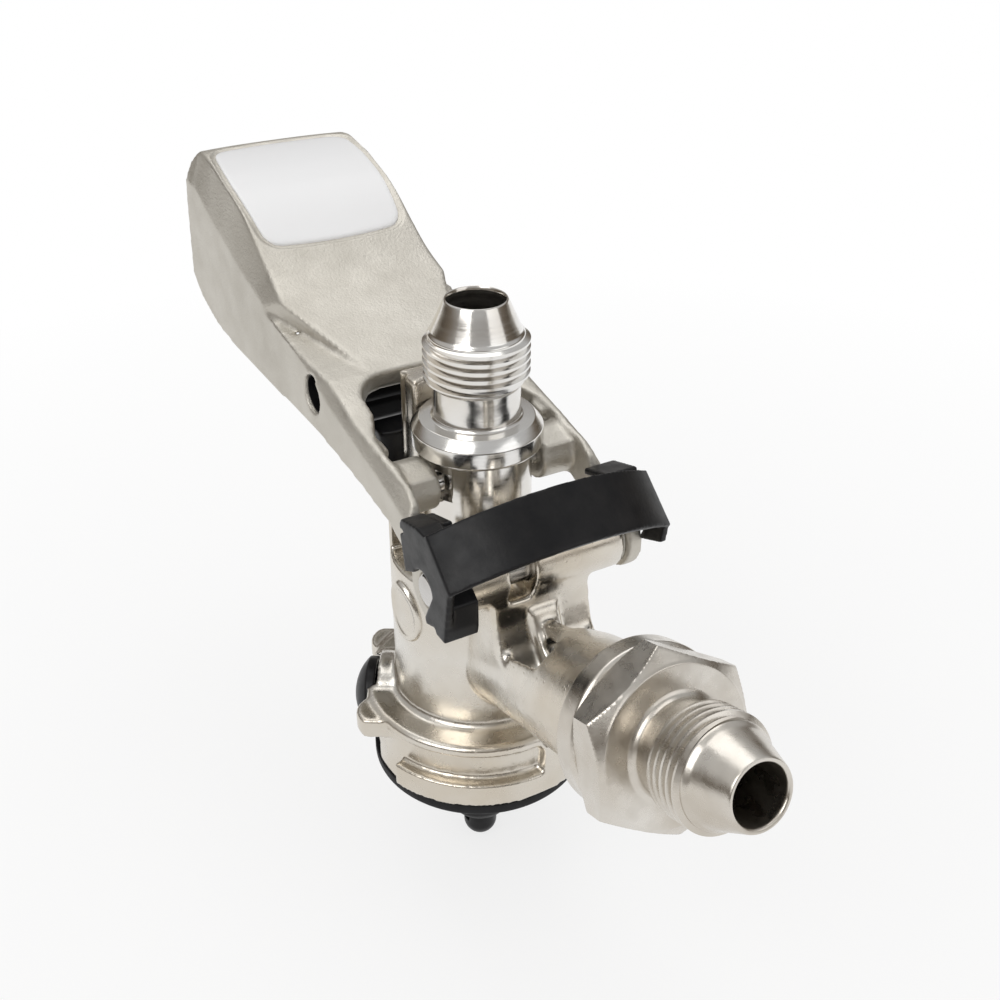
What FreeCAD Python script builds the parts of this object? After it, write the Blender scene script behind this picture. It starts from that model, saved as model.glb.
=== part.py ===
import FreeCAD, Part
import os
import Sketcher

# Lever keg coupler: a cast body that locks into the keg neck, a sliding probe for the beer,
# a forked lever that works the probe, and an angled gas inlet with a screwed-in adaptor.
# Millimetres. +Z runs up the probe, +X out along the gas inlet, the lever grip lies towards -X.
# The origin is on the probe axis, level with the underside of the base seal.
# The lever is modelled raised, with the probe at the top of its stroke.

SIZES = {
    # Base seal
    "seal_radius": 26.4,
    "seal_height": 3.7,
    "seal_opening": 13.2,
    "seal_lip_radius": 18.6,
    "seal_lip_height": 3.0,
    # Body casting
    "body_radius": 20.3,
    "body_top": 70.5,
    "skirt_radius": 26.3,
    "shelf_radius": 28.0,
    "shelf_bottom": 20.2,
    "shelf_top": 22.8,
    "lug_radius": 29.4,
    "lug_bottom": 6.6,
    "lug_top": 12.8,
    "lug_start": -72.0,
    "lug_sweep": 75.0,
    "stop_sweep": 24.0,
    "notch_start": -134.0,
    "notch_sweep": 36.0,
    "notch_height": 9.9,
    "chamber_radius": 16.4,
    "chamber_top": 45.5,
    "chamber_bottom": 20.0,
    "cup_radius": 19.4,
    "probe_clearance": 0.27,
    # Slots in the body's sides for the lever's lobes
    "lobe_slot_front": 9.0,
    "lobe_slot_back": -8.4,
    "lobe_slot_floor": 60.2,
    # Rear guide pillar of the body
    "pillar_top": 98.0,
    "pillar_half_width": 8.8,
    "pillar_gap": 0.7,
    "flute_radius": 1.5,
    # Seals in the body bore
    "ring_groove_depth": 2.1,
    "ring_groove_height": 3.2,
    "lower_ring_z": 49.4,
    "wiper_ring_z": 55.2,
    # Hinge
    "hinge_x": 22.5,
    "hinge_z": 69.5,
    "barrel_radius": 7.0,
    "barrel_half_length": 20.0,
    "pin_radius": 4.0,
    "pin_running_gap": 0.05,
    "pin_overhang": 0.4,
    "bush_radius": 5.3,
    "bush_length": 7.0,
    "slot_near": 2.0,
    "slot_far": 8.0,
    "tower_half_width": 12.0,
    "tower_back": 14.0,
    # Gas arm of the body
    "gas_tilt": 17.4,
    "gas_axis_z": 35.3,
    "arm_root_radius": 12.0,
    "arm_end_radius": 14.0,
    "arm_end": 65.6,
    "gas_passage": 4.6,
    "valve_bore": 9.4,
    "valve_bore_start": 38.0,
    # Gas adaptor
    "washer_thickness": 1.8,
    "washer_radius": 17.8,
    "flange_radius": 17.66,
    "flange_thickness": 4.0,
    "hex_flats": 34.0,
    "hex_length": 8.8,
    "thread_radius": 11.45,
    "thread_length": 9.2,
    "gas_neck_length": 6.0,
    "gas_neck_radius": 9.9,
    "cone_base_radius": 9.6,
    "cone_length": 7.8,
    "cone_tip_radius": 6.9,
    "gas_bore": 5.87,
    "spigot_radius": 9.2,
    "spigot_length": 10.0,
    # Gas check valve
    "duckbill_length": 13.0,
    "duckbill_radius": 6.6,
    "duckbill_wall": 1.2,
    "duckbill_flange": 2.0,
    # Probe
    "probe_radius": 12.08,
    "probe_shank_bottom": 46.0,
    "stem_radius": 9.0,
    "stem_bottom": -12.0,
    "collar_radius": 14.5,
    "collar_bottom": 87.7,
    "collar_top": 94.2,
    "collar_chamfer": 1.9,
    "probe_neck_radius": 9.5,
    "probe_neck_length": 8.4,
    "beer_bore": 6.1,
    "stem_bore": 5.2,
    "beer_thread_length": 10.9,
    "beer_cone_length": 6.8,
    "roller_slot_depth": 2.2,
    "roller_slot_height": 6.8,
    # Probe nose
    "nose_seal_radius": 9.3,
    "nose_seal_height": 8.0,
    "nose_core_radius": 6.5,
    "ball_radius": 4.6,
    "ball_z": -5.6,
    "ball_lift": 3.0,
    "cage_radius": 4.3,
    "cage_tip": -30.5,
    "cage_seat_height": 3.0,
    "cage_bore": 2.8,
    # Lever
    "grip_end": -126.6,
    "grip_half_width": 24.2,
    "grip_floor": 79.5,
    "grip_top": 126.6,
    "throat_back": -28.0,
    "throat_half_width": 17.3,
    "throat_corner": 8.0,
    "crease_slope": 7.2,
    "crease_z": 99.4,
    "crease_x": -64.0,
    "arm_inner": 20.6,
    "wall": 3.0,
    "boss_radius": 7.6,
    "lobe_x": 2.0,
    "lobe_z": 81.5,
    "lobe_radius": 5.6,
    "lobe_inner": 12.6,
    "stub_radius": 1.6,
    "stub_reach": 10.4,
    "roller_radius": 2.6,
    "lanyard_x": -35.6,
    "lanyard_z": 89.2,
    "lanyard_radius": 4.6,
    "lanyard_far_radius": 4.9,
    "arm_core_wall": 3.8,
    "label_width": 36.0,
    "label_thickness": 0.8,
    "recess_rim": 1.6,
    "recess_depth": 1.4,
    # Retaining clip
    "clip_side_gap": 0.55,
    "clip_rise": 15.4,
    "clip_drop": 5.5,
    "clip_wall": 1.7,
    "clip_plate": 1.55,
    "clip_bow_radius": 41.2,
    "clip_band_width": 13.0,
    "clip_lip_length": 7.9,
    # Relief valve on the side of the body
    "relief_angle": -122.0,
    "relief_z": 16.0,
    "relief_seat": 24.0,
    "relief_cap_radius": 8.6,
    "relief_cap_height": 5.4,
    "relief_travel": 1.0,
    "relief_stem_radius": 1.6,
    "relief_gap": 0.3,
    "poppet_radius": 3.4,
    "poppet_thickness": 0.8,
    "poppet_seat_depth": 0.3,
    "guard_reach": 28.6,
    "guard_thickness": 5.2,
    "guard_width": 9.0,
}

COS_30 = 0.8660254
V = FreeCAD.Vector


class Dim:
    """A size that carries its value and the sheet expression that gives it."""

    def __init__(self, value, text):
        self.value = float(value)
        self.text = text

    @staticmethod
    def of(item):
        return item if isinstance(item, Dim) else Dim(item, repr(float(item)))

    def __add__(self, other):
        other = Dim.of(other)
        return Dim(self.value + other.value, f"({self.text} + {other.text})")

    def __radd__(self, other):
        return Dim.of(other) + self

    def __sub__(self, other):
        other = Dim.of(other)
        return Dim(self.value - other.value, f"({self.text} - {other.text})")

    def __rsub__(self, other):
        return Dim.of(other) - self

    def __mul__(self, other):
        other = Dim.of(other)
        return Dim(self.value * other.value, f"({self.text} * {other.text})")

    def __rmul__(self, other):
        return Dim.of(other) * self

    def __truediv__(self, other):
        other = Dim.of(other)
        return Dim(self.value / other.value, f"({self.text} / {other.text})")

    def __neg__(self):
        return Dim(-self.value, f"(0 - {self.text})")


def cosine(angle):
    """The cosine of a size in degrees."""
    turned = FreeCAD.Rotation(V(0, 0, 1), angle.value).multVec(V(1, 0, 0))
    return Dim(turned.x, f"cos({angle.text})")


def sine(angle):
    """The sine of a size in degrees."""
    turned = FreeCAD.Rotation(V(0, 0, 1), angle.value).multVec(V(1, 0, 0))
    return Dim(turned.y, f"sin({angle.text})")


def polar(radius, angle):
    """A point in plan at a radius and an angle about the probe axis."""
    return radius * cosine(angle), radius * sine(angle)


class Sheet:
    """The spreadsheet of driving sizes; each size is read as an attribute."""

    def __init__(self, doc, sizes):
        self._cells = doc.addObject("Spreadsheet::Sheet", "Sizes")
        self._sizes = sizes
        for row, (name, value) in enumerate(sizes.items(), start=1):
            self._cells.set(f"A{row}", name.replace("_", " "))
            self._cells.set(f"B{row}", str(value))
            self._cells.setAlias(f"B{row}", name)
        doc.recompute()

    def __getattr__(self, name):
        if name not in self._sizes:
            raise AttributeError(name)
        return Dim(self._sizes[name], f"Sizes.{name}")


doc = FreeCAD.newDocument("keg_coupler")
s = Sheet(doc, SIZES)


def new_body(label):
    body = doc.addObject("PartDesign::Body", label)
    body.Label = label
    return body


def origin_item(body, role):
    """One of a body's own planes or axes."""
    return next(item for item in body.Origin.OriginFeatures if item.Role == role)


def bind(item, path, size):
    item.setExpression(path, Dim.of(size).text)


def new_sketch(body, name, role, offset=None):
    """Adds a sketch on one of the body's own origin planes, lifted by an offset if given."""
    sketch = body.newObject("Sketcher::SketchObject", name)
    sketch.AttachmentSupport = (origin_item(body, role), [""])
    sketch.MapMode = "FlatFace"
    if offset is not None:
        sketch.AttachmentOffset = FreeCAD.Placement(V(0, 0, offset.value), FreeCAD.Rotation())
        bind(sketch, ".AttachmentOffset.Base.z", offset)
    return sketch


def pin_point(sketch, geometry, end, x, y):
    """Holds one end of a sketch element at the given sizes from the origin."""
    for kind, size in (("DistanceX", x), ("DistanceY", y)):
        index = sketch.addConstraint(Sketcher.Constraint(kind, -1, 1, geometry, end, Dim.of(size).value))
        if isinstance(size, Dim):
            bind(sketch, f"Constraints[{index}]", size)


def bulge_point(start, finish, radius):
    """The middle of an arc from start to finish; a positive radius bows to the left."""
    chord = finish - start
    half = chord.Length / 2
    reach = max(radius * radius - half * half, 0.0) ** 0.5
    rise = abs(radius) - reach
    left = V(-chord.y, chord.x, 0).normalize()
    return (start + finish) / 2 + left * (rise if radius > 0 else -rise)


def outline(sketch, corners):
    """Draws a closed outline; a third item in a corner is the radius of the arc that leaves it."""
    first = sketch.GeometryCount
    count = len(corners)
    points = [V(Dim.of(c[0]).value, Dim.of(c[1]).value, 0) for c in corners]
    for index, corner in enumerate(corners):
        start, finish = points[index], points[(index + 1) % count]
        if len(corner) == 3:
            bow = Dim.of(corner[2]).value
            middle = bulge_point(start, finish, bow)
            sketch.addGeometry(Part.Arc(finish, middle, start) if bow > 0 else Part.Arc(start, middle, finish))
        else:
            sketch.addGeometry(Part.LineSegment(start, finish))
    ends = [(2, 1) if len(corner) == 3 and Dim.of(corner[2]).value > 0 else (1, 2) for corner in corners]
    for index, corner in enumerate(corners):
        following = (index + 1) % count
        here, after = first + index, first + following
        sketch.addConstraint(
            Sketcher.Constraint("Coincident", here, ends[index][1], after, ends[following][0]))
        pin_point(sketch, here, ends[index][0], corner[0], corner[1])
    for index, corner in enumerate(corners):
        if len(corner) == 3:
            radius = Dim.of(corner[2])
            size = radius if radius.value > 0 else -radius
            place = sketch.addConstraint(Sketcher.Constraint("Radius", first + index, size.value))
            bind(sketch, f"Constraints[{place}]", size)


def circle(sketch, x, y, radius):
    centre = V(Dim.of(x).value, Dim.of(y).value, 0)
    index = sketch.addGeometry(Part.Circle(centre, V(0, 0, 1), Dim.of(radius).value))
    pin_point(sketch, index, 3, x, y)
    place = sketch.addConstraint(Sketcher.Constraint("Radius", index, Dim.of(radius).value))
    bind(sketch, f"Constraints[{place}]", radius)


def extrude(body, kind, sketch, length, both_ways=True, turned=False):
    """Pads or pockets a sketch, to both sides of its plane unless told otherwise."""
    feature = body.newObject(f"PartDesign::{kind}", f"{sketch.Name}_{kind.lower()}")
    feature.Profile = sketch
    feature.Length = Dim.of(length).value
    bind(feature, "Length", length)
    feature.SideType = "Symmetric" if both_ways else "One side"
    feature.Reversed = turned
    sketch.Visibility = False
    return feature


def pad(body, sketch, length, both_ways=True, turned=False):
    return extrude(body, "Pad", sketch, length, both_ways, turned)


def pocket(body, sketch, length, both_ways=True, turned=False):
    return extrude(body, "Pocket", sketch, length, both_ways, turned)


def turn(body, kind, sketch, axis="V_Axis", sweep=360.0, both_ways=False):
    """Revolves or grooves a sketch about one of its own lines."""
    feature = body.newObject(f"PartDesign::{kind}", f"{sketch.Name}_{kind.lower()}")
    feature.Profile = sketch
    feature.ReferenceAxis = (sketch, [axis])
    feature.Angle = Dim.of(sweep).value
    if isinstance(sweep, Dim):
        bind(feature, "Angle", sweep)
    feature.Midplane = both_ways
    return feature


def edges_where(feature, test):
    """Names the edges of a feature's shape that pass a test."""
    doc.recompute()
    return [f"Edge{index}" for index, edge in enumerate(feature.Shape.Edges, start=1) if test(edge)]


def soften(body, kind, feature, test, size):
    """Adds a fillet or a chamfer on the edges that pass a test."""
    names = edges_where(feature, test)
    if not names:
        return feature
    dressing = body.newObject(f"PartDesign::{kind}", f"{feature.Name}_{kind.lower()}")
    dressing.Base = (feature, names)
    dressing.Refine = False
    path = "Radius" if kind == "Fillet" else "Size"
    setattr(dressing, path, Dim.of(size).value)
    bind(dressing, path, size)
    return dressing


def is_ring(edge, radius, z, slack=0.02):
    """True for a level circular edge of the given radius and height."""
    curve = edge.Curve
    level = abs(edge.BoundBox.ZMin - z) < slack and abs(edge.BoundBox.ZMax - z) < slack
    return level and isinstance(curve, Part.Circle) and abs(curve.Radius - radius) < slack


def tilted(along, across):
    """A point beside the gas axis, in the side view of the body."""
    along, across = Dim.of(along), Dim.of(across)
    level = along * cosine(s.gas_tilt) - across * sine(s.gas_tilt)
    return level, s.gas_axis_z + along * sine(s.gas_tilt) + across * cosine(s.gas_tilt)


def gas_outline(body, name, corners):
    """A half outline beside the gas axis, given along and across it, with that axis as its line."""
    sketch = new_sketch(body, name, "XZ_Plane")
    outline(sketch, [tilted(*corner[:2]) + tuple(corner[2:]) for corner in corners])
    first, last = tilted(0, 0), tilted(10, 0)
    start = V(first[0].value, first[1].value, 0)
    finish = V(last[0].value, last[1].value, 0)
    index = sketch.addGeometry(Part.LineSegment(start, finish), True)
    pin_point(sketch, index, 1, *first)
    pin_point(sketch, index, 2, *last)
    return sketch


def gas_turn(body, kind, name, corners):
    return turn(body, kind, gas_outline(body, name, corners), "Axis0")


# Base seal


def make_base_seal():
    body = new_body("base_seal")
    sketch = new_sketch(body, "seal_section", "XZ_Plane")
    outline(sketch, [
        (s.seal_opening, 0.8),
        (s.seal_opening + 1.2, 0),
        (s.seal_radius - 1.4, 0),
        (s.seal_radius, 1.4),
        (s.seal_radius, s.seal_height),
        (s.seal_lip_radius, s.seal_height),
        (s.seal_lip_radius, s.seal_height + s.seal_lip_height),
        (s.seal_lip_radius - 2.4, s.seal_height + s.seal_lip_height),
        (s.seal_lip_radius - 3.2, s.seal_height),
        (s.seal_opening, s.seal_height - 0.8),
    ])
    turn(body, "Revolution", sketch)
    return body


# Body casting


def sector(body, name, radius_in, radius_out, z_low, z_high, start, sweep):
    """A pad or pocket sketch of a ring segment about the probe axis, and its height."""
    finish = start + sweep
    sketch = new_sketch(body, name, "XY_Plane", Dim.of(z_low))
    outline(sketch, [
        polar(radius_in, start),
        polar(radius_out, start) + (-radius_out,),
        polar(radius_out, finish),
        polar(radius_in, finish) + (radius_in,),
    ])
    return sketch, z_high - z_low


def repeat_opposite(body, feature):
    """Repeats a feature on the far side of the probe axis."""
    pattern = body.newObject("PartDesign::PolarPattern", f"{feature.Name}_pair")
    pattern.Originals = [feature]
    pattern.Axis = (origin_item(body, "Z_Axis"), [""])
    pattern.Angle = 360
    pattern.Occurrences = 2
    body.Tip = pattern
    return pattern


def make_lugs(body):
    """Adds the two bayonet lugs with their end stops, and the two notches in the skirt."""
    inner = s.skirt_radius - 1
    last = s.lug_start + s.lug_sweep
    sketch, height = sector(body, "lug", inner, s.lug_radius, s.lug_bottom, s.lug_top,
                            s.lug_start, s.lug_sweep + s.stop_sweep)
    repeat_opposite(body, pad(body, sketch, height, both_ways=False))
    sketch, height = sector(body, "lug_stop", inner, s.lug_radius, s.lug_top - 1, s.shelf_bottom + 0.5,
                            last, s.stop_sweep)
    repeat_opposite(body, pad(body, sketch, height, both_ways=False))
    sketch, height = sector(body, "skirt_notch", s.cup_radius - 1, s.skirt_radius + 4, s.seal_height - 1,
                            s.notch_height, s.notch_start, s.notch_sweep)
    repeat_opposite(body, pocket(body, sketch, height, both_ways=False, turned=True))


def make_body_bore(body):
    """Cuts the stepped bore: the keg cup, the gas chamber and the probe guide with its grooves."""
    bore = s.probe_radius + s.probe_clearance
    groove = s.probe_radius + s.ring_groove_depth
    sketch = new_sketch(body, "bore_section", "XZ_Plane")
    outline(sketch, [
        (0, s.seal_height - 1),
        (s.cup_radius, s.seal_height - 1),
        (s.cup_radius, s.chamber_bottom - 3),
        (s.chamber_radius, s.chamber_bottom),
        (s.chamber_radius, s.chamber_top - 4),
        (bore, s.chamber_top),
        (bore, s.lower_ring_z),
        (groove, s.lower_ring_z),
        (groove, s.lower_ring_z + s.ring_groove_height),
        (bore, s.lower_ring_z + s.ring_groove_height),
        (bore, s.wiper_ring_z),
        (groove, s.wiper_ring_z),
        (groove, s.wiper_ring_z + s.ring_groove_height),
        (bore, s.wiper_ring_z + s.ring_groove_height),
        (bore, s.body_top - 1.2),
        (bore + 1.2, s.body_top),
        (bore + 1.2, s.body_top + 1),
        (0, s.body_top + 1),
    ])
    turn(body, "Groove", sketch)


def make_hinge_tower(body):
    """Adds the tower on the gas arm, with the hinge barrel on top and the pin bore through it."""
    tower = new_sketch(body, "tower_side", "XZ_Plane")
    foot = s.gas_axis_z + s.arm_root_radius
    outline(tower, [
        (s.tower_back, foot - 6),
        (s.hinge_x + 13, foot + 2),
        (s.hinge_x + 7, foot + 6),
        (s.hinge_x + s.barrel_radius - 1.6, s.hinge_z - 6.5),
        (s.hinge_x + s.barrel_radius - 0.5, s.hinge_z),
        (s.hinge_x, s.hinge_z + s.barrel_radius - 0.5),
        (s.tower_back, s.hinge_z - 2),
    ])
    pad(body, tower, s.tower_half_width * 2)
    barrel = new_sketch(body, "barrel_end", "XZ_Plane")
    circle(barrel, s.hinge_x, s.hinge_z, s.barrel_radius)
    pad(body, barrel, s.barrel_half_length * 2)
    pocket_side = new_sketch(body, "tower_window", "XY_Plane", s.gas_axis_z + s.arm_root_radius + 2.5)
    outline(pocket_side, [
        (s.hinge_x - 0.5, -s.tower_half_width + 2.2),
        (s.hinge_x + 20, -s.tower_half_width + 2.2),
        (s.hinge_x + 20, -1.4),
        (s.hinge_x - 0.5, -1.4),
    ])
    pocket(body, pocket_side, s.hinge_z - s.gas_axis_z - s.arm_root_radius - 11, both_ways=False, turned=True)
    other = new_sketch(body, "tower_window_right", "XY_Plane", s.gas_axis_z + s.arm_root_radius + 2.5)
    outline(other, [
        (s.hinge_x - 0.5, 1.4),
        (s.hinge_x + 20, 1.4),
        (s.hinge_x + 20, s.tower_half_width - 2.2),
        (s.hinge_x - 0.5, s.tower_half_width - 2.2),
    ])
    pocket(body, other, s.hinge_z - s.gas_axis_z - s.arm_root_radius - 11, both_ways=False, turned=True)
    slot = new_sketch(body, "barrel_slot", "XZ_Plane", (s.slot_near + s.slot_far) / 2)
    circle(slot, s.hinge_x, s.hinge_z, s.barrel_radius + 0.4)
    pocket(body, slot, s.slot_far - s.slot_near)
    bore = new_sketch(body, "pin_bore", "XZ_Plane")
    circle(bore, s.hinge_x, s.hinge_z, s.pin_radius + s.pin_running_gap)
    pocket(body, bore, s.barrel_half_length * 2 + 2)
    for way, offset in (("left", s.barrel_half_length), ("right", s.bush_length - s.barrel_half_length)):
        seat = new_sketch(body, f"bush_seat_{way}", "XZ_Plane", offset)
        circle(seat, s.hinge_x, s.hinge_z, s.bush_radius)
        pocket(body, seat, s.bush_length, both_ways=False)


def cut_lobe_slots(body):
    """Cuts the two open slots that the lever's lobes drop into."""
    gap = s.stub_reach - 0.3
    for way, offset in (("left", s.body_radius + 2), ("right", -gap)):
        slot = new_sketch(body, f"lobe_slot_{way}", "XZ_Plane", offset)
        outline(slot, [
            (s.lobe_slot_back, s.lobe_slot_floor),
            (s.lobe_slot_front, s.lobe_slot_floor),
            (s.lobe_slot_front, s.body_top + 2),
            (s.lobe_slot_back, s.body_top + 2),
        ])
        pocket(body, slot, s.body_radius + 2 - gap, both_ways=False)


def make_gas_arm(body):
    """Adds the tilted gas arm, a slightly flared cylinder."""
    gas_turn(body, "Revolution", "arm_section", [
        (10, 0),
        (10, s.arm_root_radius),
        (s.arm_end - 3, s.arm_end_radius),
        (s.arm_end, s.arm_end_radius),
        (s.arm_end, 0),
    ])


def cut_gas_passage(body):
    gas_turn(body, "Groove", "passage_section", [
        (s.chamber_radius - 2.5, 0),
        (s.chamber_radius - 2.5, s.gas_passage),
        (s.valve_bore_start, s.gas_passage),
        (s.valve_bore_start, s.valve_bore),
        (s.arm_end + 1, s.valve_bore),
        (s.arm_end + 1, 0),
    ])


def make_pillar(body):
    """Adds the rear pillar whose hollow front face guides the probe collar."""
    blank = new_sketch(body, "pillar_plan", "XY_Plane", s.body_top - 8)
    outline(blank, [
        (-s.body_radius - 0.6, -s.pillar_half_width),
        (-s.probe_radius - 0.6, -s.pillar_half_width),
        (-s.probe_radius - 0.6, s.pillar_half_width),
        (-s.body_radius - 0.6, s.pillar_half_width),
    ])
    pad(body, blank, s.pillar_top - s.body_top + 8, both_ways=False)
    hollow = new_sketch(body, "pillar_hollow", "XY_Plane", s.body_top)
    circle(hollow, 0, 0, s.collar_radius + s.pillar_gap)
    pocket(body, hollow, s.pillar_top - s.body_top + 1, both_ways=False, turned=True)
    for side in (-1, 1):
        flute = new_sketch(body, f"flute_{'left' if side < 0 else 'right'}", "XY_Plane", s.body_top + 6)
        circle(flute, -s.body_radius + 1.4, side * (s.pillar_half_width + 0.5), s.flute_radius)
        pocket(body, flute, s.pillar_top - s.body_top, both_ways=False, turned=True)


def beside_relief(way_out, across):
    """A point in plan beside the relief valve's axis."""
    way_out, across = Dim.of(way_out), Dim.of(across)
    c, n = cosine(s.relief_angle), sine(s.relief_angle)
    return way_out * c - across * n, way_out * n + across * c


def radial_round(body, kind, name, radius, near, far):
    """Adds or cuts a cylinder along the relief valve's axis."""
    tool = body.newObject(f"PartDesign::{kind}Cylinder", name)
    bind(tool, "Radius", radius)
    bind(tool, "Height", far - near)
    spin = FreeCAD.Rotation(V(0, 0, 1), SIZES["relief_angle"])
    tool.Placement = FreeCAD.Placement(V(0, 0, 0), spin * FreeCAD.Rotation(V(0, 1, 0), 90))
    bind(tool, ".Placement.Base.x", near * cosine(s.relief_angle))
    bind(tool, ".Placement.Base.y", near * sine(s.relief_angle))
    bind(tool, ".Placement.Base.z", s.relief_z)
    return tool


def poppet_seat():
    """How far the poppet's flat seat in the cup wall lies from the probe axis."""
    return s.cup_radius + s.poppet_seat_depth


def make_relief_seat(body):
    """Adds the relief valve's seat in the left side, with the two cast guards beside it."""
    radial_round(body, "Additive", "relief_boss", s.relief_cap_radius + 1.6, s.body_radius - 2,
                 s.relief_seat + 0.6)
    radial_round(body, "Subtractive", "relief_recess", s.relief_cap_radius + 0.4, s.relief_seat,
                 s.guard_reach + 6)
    near, far = s.relief_cap_radius + 0.7, s.relief_cap_radius + 0.7 + s.guard_width
    for way, name in ((1, "front"), (-1, "back")):
        guard = new_sketch(body, f"guard_{name}", "XY_Plane", s.relief_z + 0.8)
        outline(guard, [
            beside_relief(s.body_radius - 5, near * way),
            beside_relief(s.guard_reach - 2.4, near * way) + ((s.guard_width * 0.62) * way * -1,),
            beside_relief(s.guard_reach - 2.4, far * way),
            beside_relief(s.body_radius - 9, far * way),
        ])
        pad(body, guard, s.guard_thickness, both_ways=False)
    inside = s.chamber_radius - 1
    radial_round(body, "Subtractive", "relief_bore", s.relief_stem_radius + s.relief_gap, inside,
                 s.guard_reach)
    radial_round(body, "Subtractive", "poppet_seat", s.poppet_radius + s.relief_gap, inside, poppet_seat())


def make_housing():
    body = new_body("housing")
    sketch = new_sketch(body, "body_section", "XZ_Plane")
    outline(sketch, [
        (8, s.seal_height),
        (s.skirt_radius, s.seal_height),
        (s.skirt_radius, s.shelf_bottom),
        (s.shelf_radius, s.shelf_bottom),
        (s.shelf_radius, s.shelf_top),
        (s.body_radius, s.shelf_top),
        (s.body_radius, s.body_top),
        (8, s.body_top),
    ])
    main = turn(body, "Revolution", sketch)
    rim = soften(body, "Fillet", main, lambda e: is_ring(e, SIZES["shelf_radius"], SIZES["shelf_top"]), 1.3)
    root = soften(body, "Fillet", rim, lambda e: is_ring(e, SIZES["body_radius"], SIZES["shelf_top"]), 2.0)
    soften(body, "Fillet", root, lambda e: is_ring(e, SIZES["body_radius"], SIZES["body_top"]), 1.6)
    make_gas_arm(body)
    make_hinge_tower(body)
    make_pillar(body)
    make_relief_seat(body)
    make_lugs(body)
    cut_lobe_slots(body)
    cut_gas_passage(body)
    make_body_bore(body)
    return body


# Gas adaptor and its check valve


def make_gas_washer():
    body = new_body("gas_joint_washer")
    gas_turn(body, "Revolution", "washer_section", [
        (s.arm_end, s.spigot_radius + 0.4),
        (s.arm_end, s.washer_radius),
        (s.arm_end + s.washer_thickness, s.washer_radius),
        (s.arm_end + s.washer_thickness, s.spigot_radius + 0.4),
    ])
    return body


def make_gas_adaptor():
    body = new_body("gas_adaptor")
    face = s.arm_end + s.washer_thickness
    hex_start = face + s.flange_thickness
    hex_end = hex_start + s.hex_length
    thread_start = hex_end + s.gas_neck_length
    thread_end = thread_start + s.thread_length
    corner = s.hex_flats / 2 / COS_30
    tip = thread_end + s.cone_length + 0.8
    blank = gas_turn(body, "Revolution", "adaptor_section", [
        (face - s.spigot_length, s.gas_bore),
        (face - s.spigot_length, s.spigot_radius),
        (face, s.spigot_radius),
        (face, s.flange_radius - 0.6),
        (face + 0.6, s.flange_radius),
        (hex_start - 0.6, s.flange_radius),
        (hex_start, s.hex_flats / 2 - 0.2),
        (hex_start + 1.4, corner),
        (hex_end - 1.4, corner),
        (hex_end, s.hex_flats / 2 - 0.3),
        (hex_end, s.gas_neck_radius + 0.6),
        (hex_end + 0.6, s.gas_neck_radius),
        (thread_start, s.gas_neck_radius),
        (thread_start + 0.8, s.thread_radius),
        (thread_end, s.thread_radius),
        (thread_end + 0.8, s.cone_base_radius),
        (tip, s.cone_tip_radius),
        (tip, s.gas_bore),
    ])
    cut = new_sketch(body, "hex_flat", "XZ_Plane", s.hex_flats / 2)
    outline(cut, [
        tilted(hex_start + 0.01, -corner),
        tilted(hex_end + 0.01, -corner),
        tilted(hex_end + 0.01, corner),
        tilted(hex_start + 0.01, corner),
    ])
    flat = pocket(body, cut, corner - s.hex_flats / 2 + 1, both_ways=False, turned=True)
    pattern = body.newObject("PartDesign::PolarPattern", "hex_flats")
    pattern.Originals = [flat]
    pattern.Axis = (blank.Profile[0], ["Axis0"])
    pattern.Angle = 360
    pattern.Occurrences = 6
    body.Tip = pattern
    return body


def make_gas_check_valve():
    """The rubber duckbill that lets gas in and keeps beer out."""
    body = new_body("gas_check_valve")
    start = s.valve_bore_start + 0.4
    tail = start + s.duckbill_length
    gas_turn(body, "Revolution", "duckbill_section", [
        (start, 0.4),
        (start, 1.6),
        (tail - 5, s.duckbill_radius),
        (tail - s.duckbill_flange, s.duckbill_radius),
        (tail - s.duckbill_flange, s.valve_bore - 0.2),
        (tail, s.valve_bore - 0.2),
        (tail, s.duckbill_radius - s.duckbill_wall),
        (tail - 5, s.duckbill_radius - s.duckbill_wall),
    ])
    return body


def make_valve_sleeve():
    """The plastic sleeve between the duckbill's rim and the adaptor's spigot."""
    body = new_body("gas_valve_sleeve")
    start = s.valve_bore_start + 0.4 + s.duckbill_length
    finish = s.arm_end + s.washer_thickness - s.spigot_length
    gas_turn(body, "Revolution", "sleeve_section", [
        (start, s.gas_bore),
        (start, s.valve_bore - 0.15),
        (finish, s.valve_bore - 0.15),
        (finish, s.gas_bore),
    ])
    return body


# Probe


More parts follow.
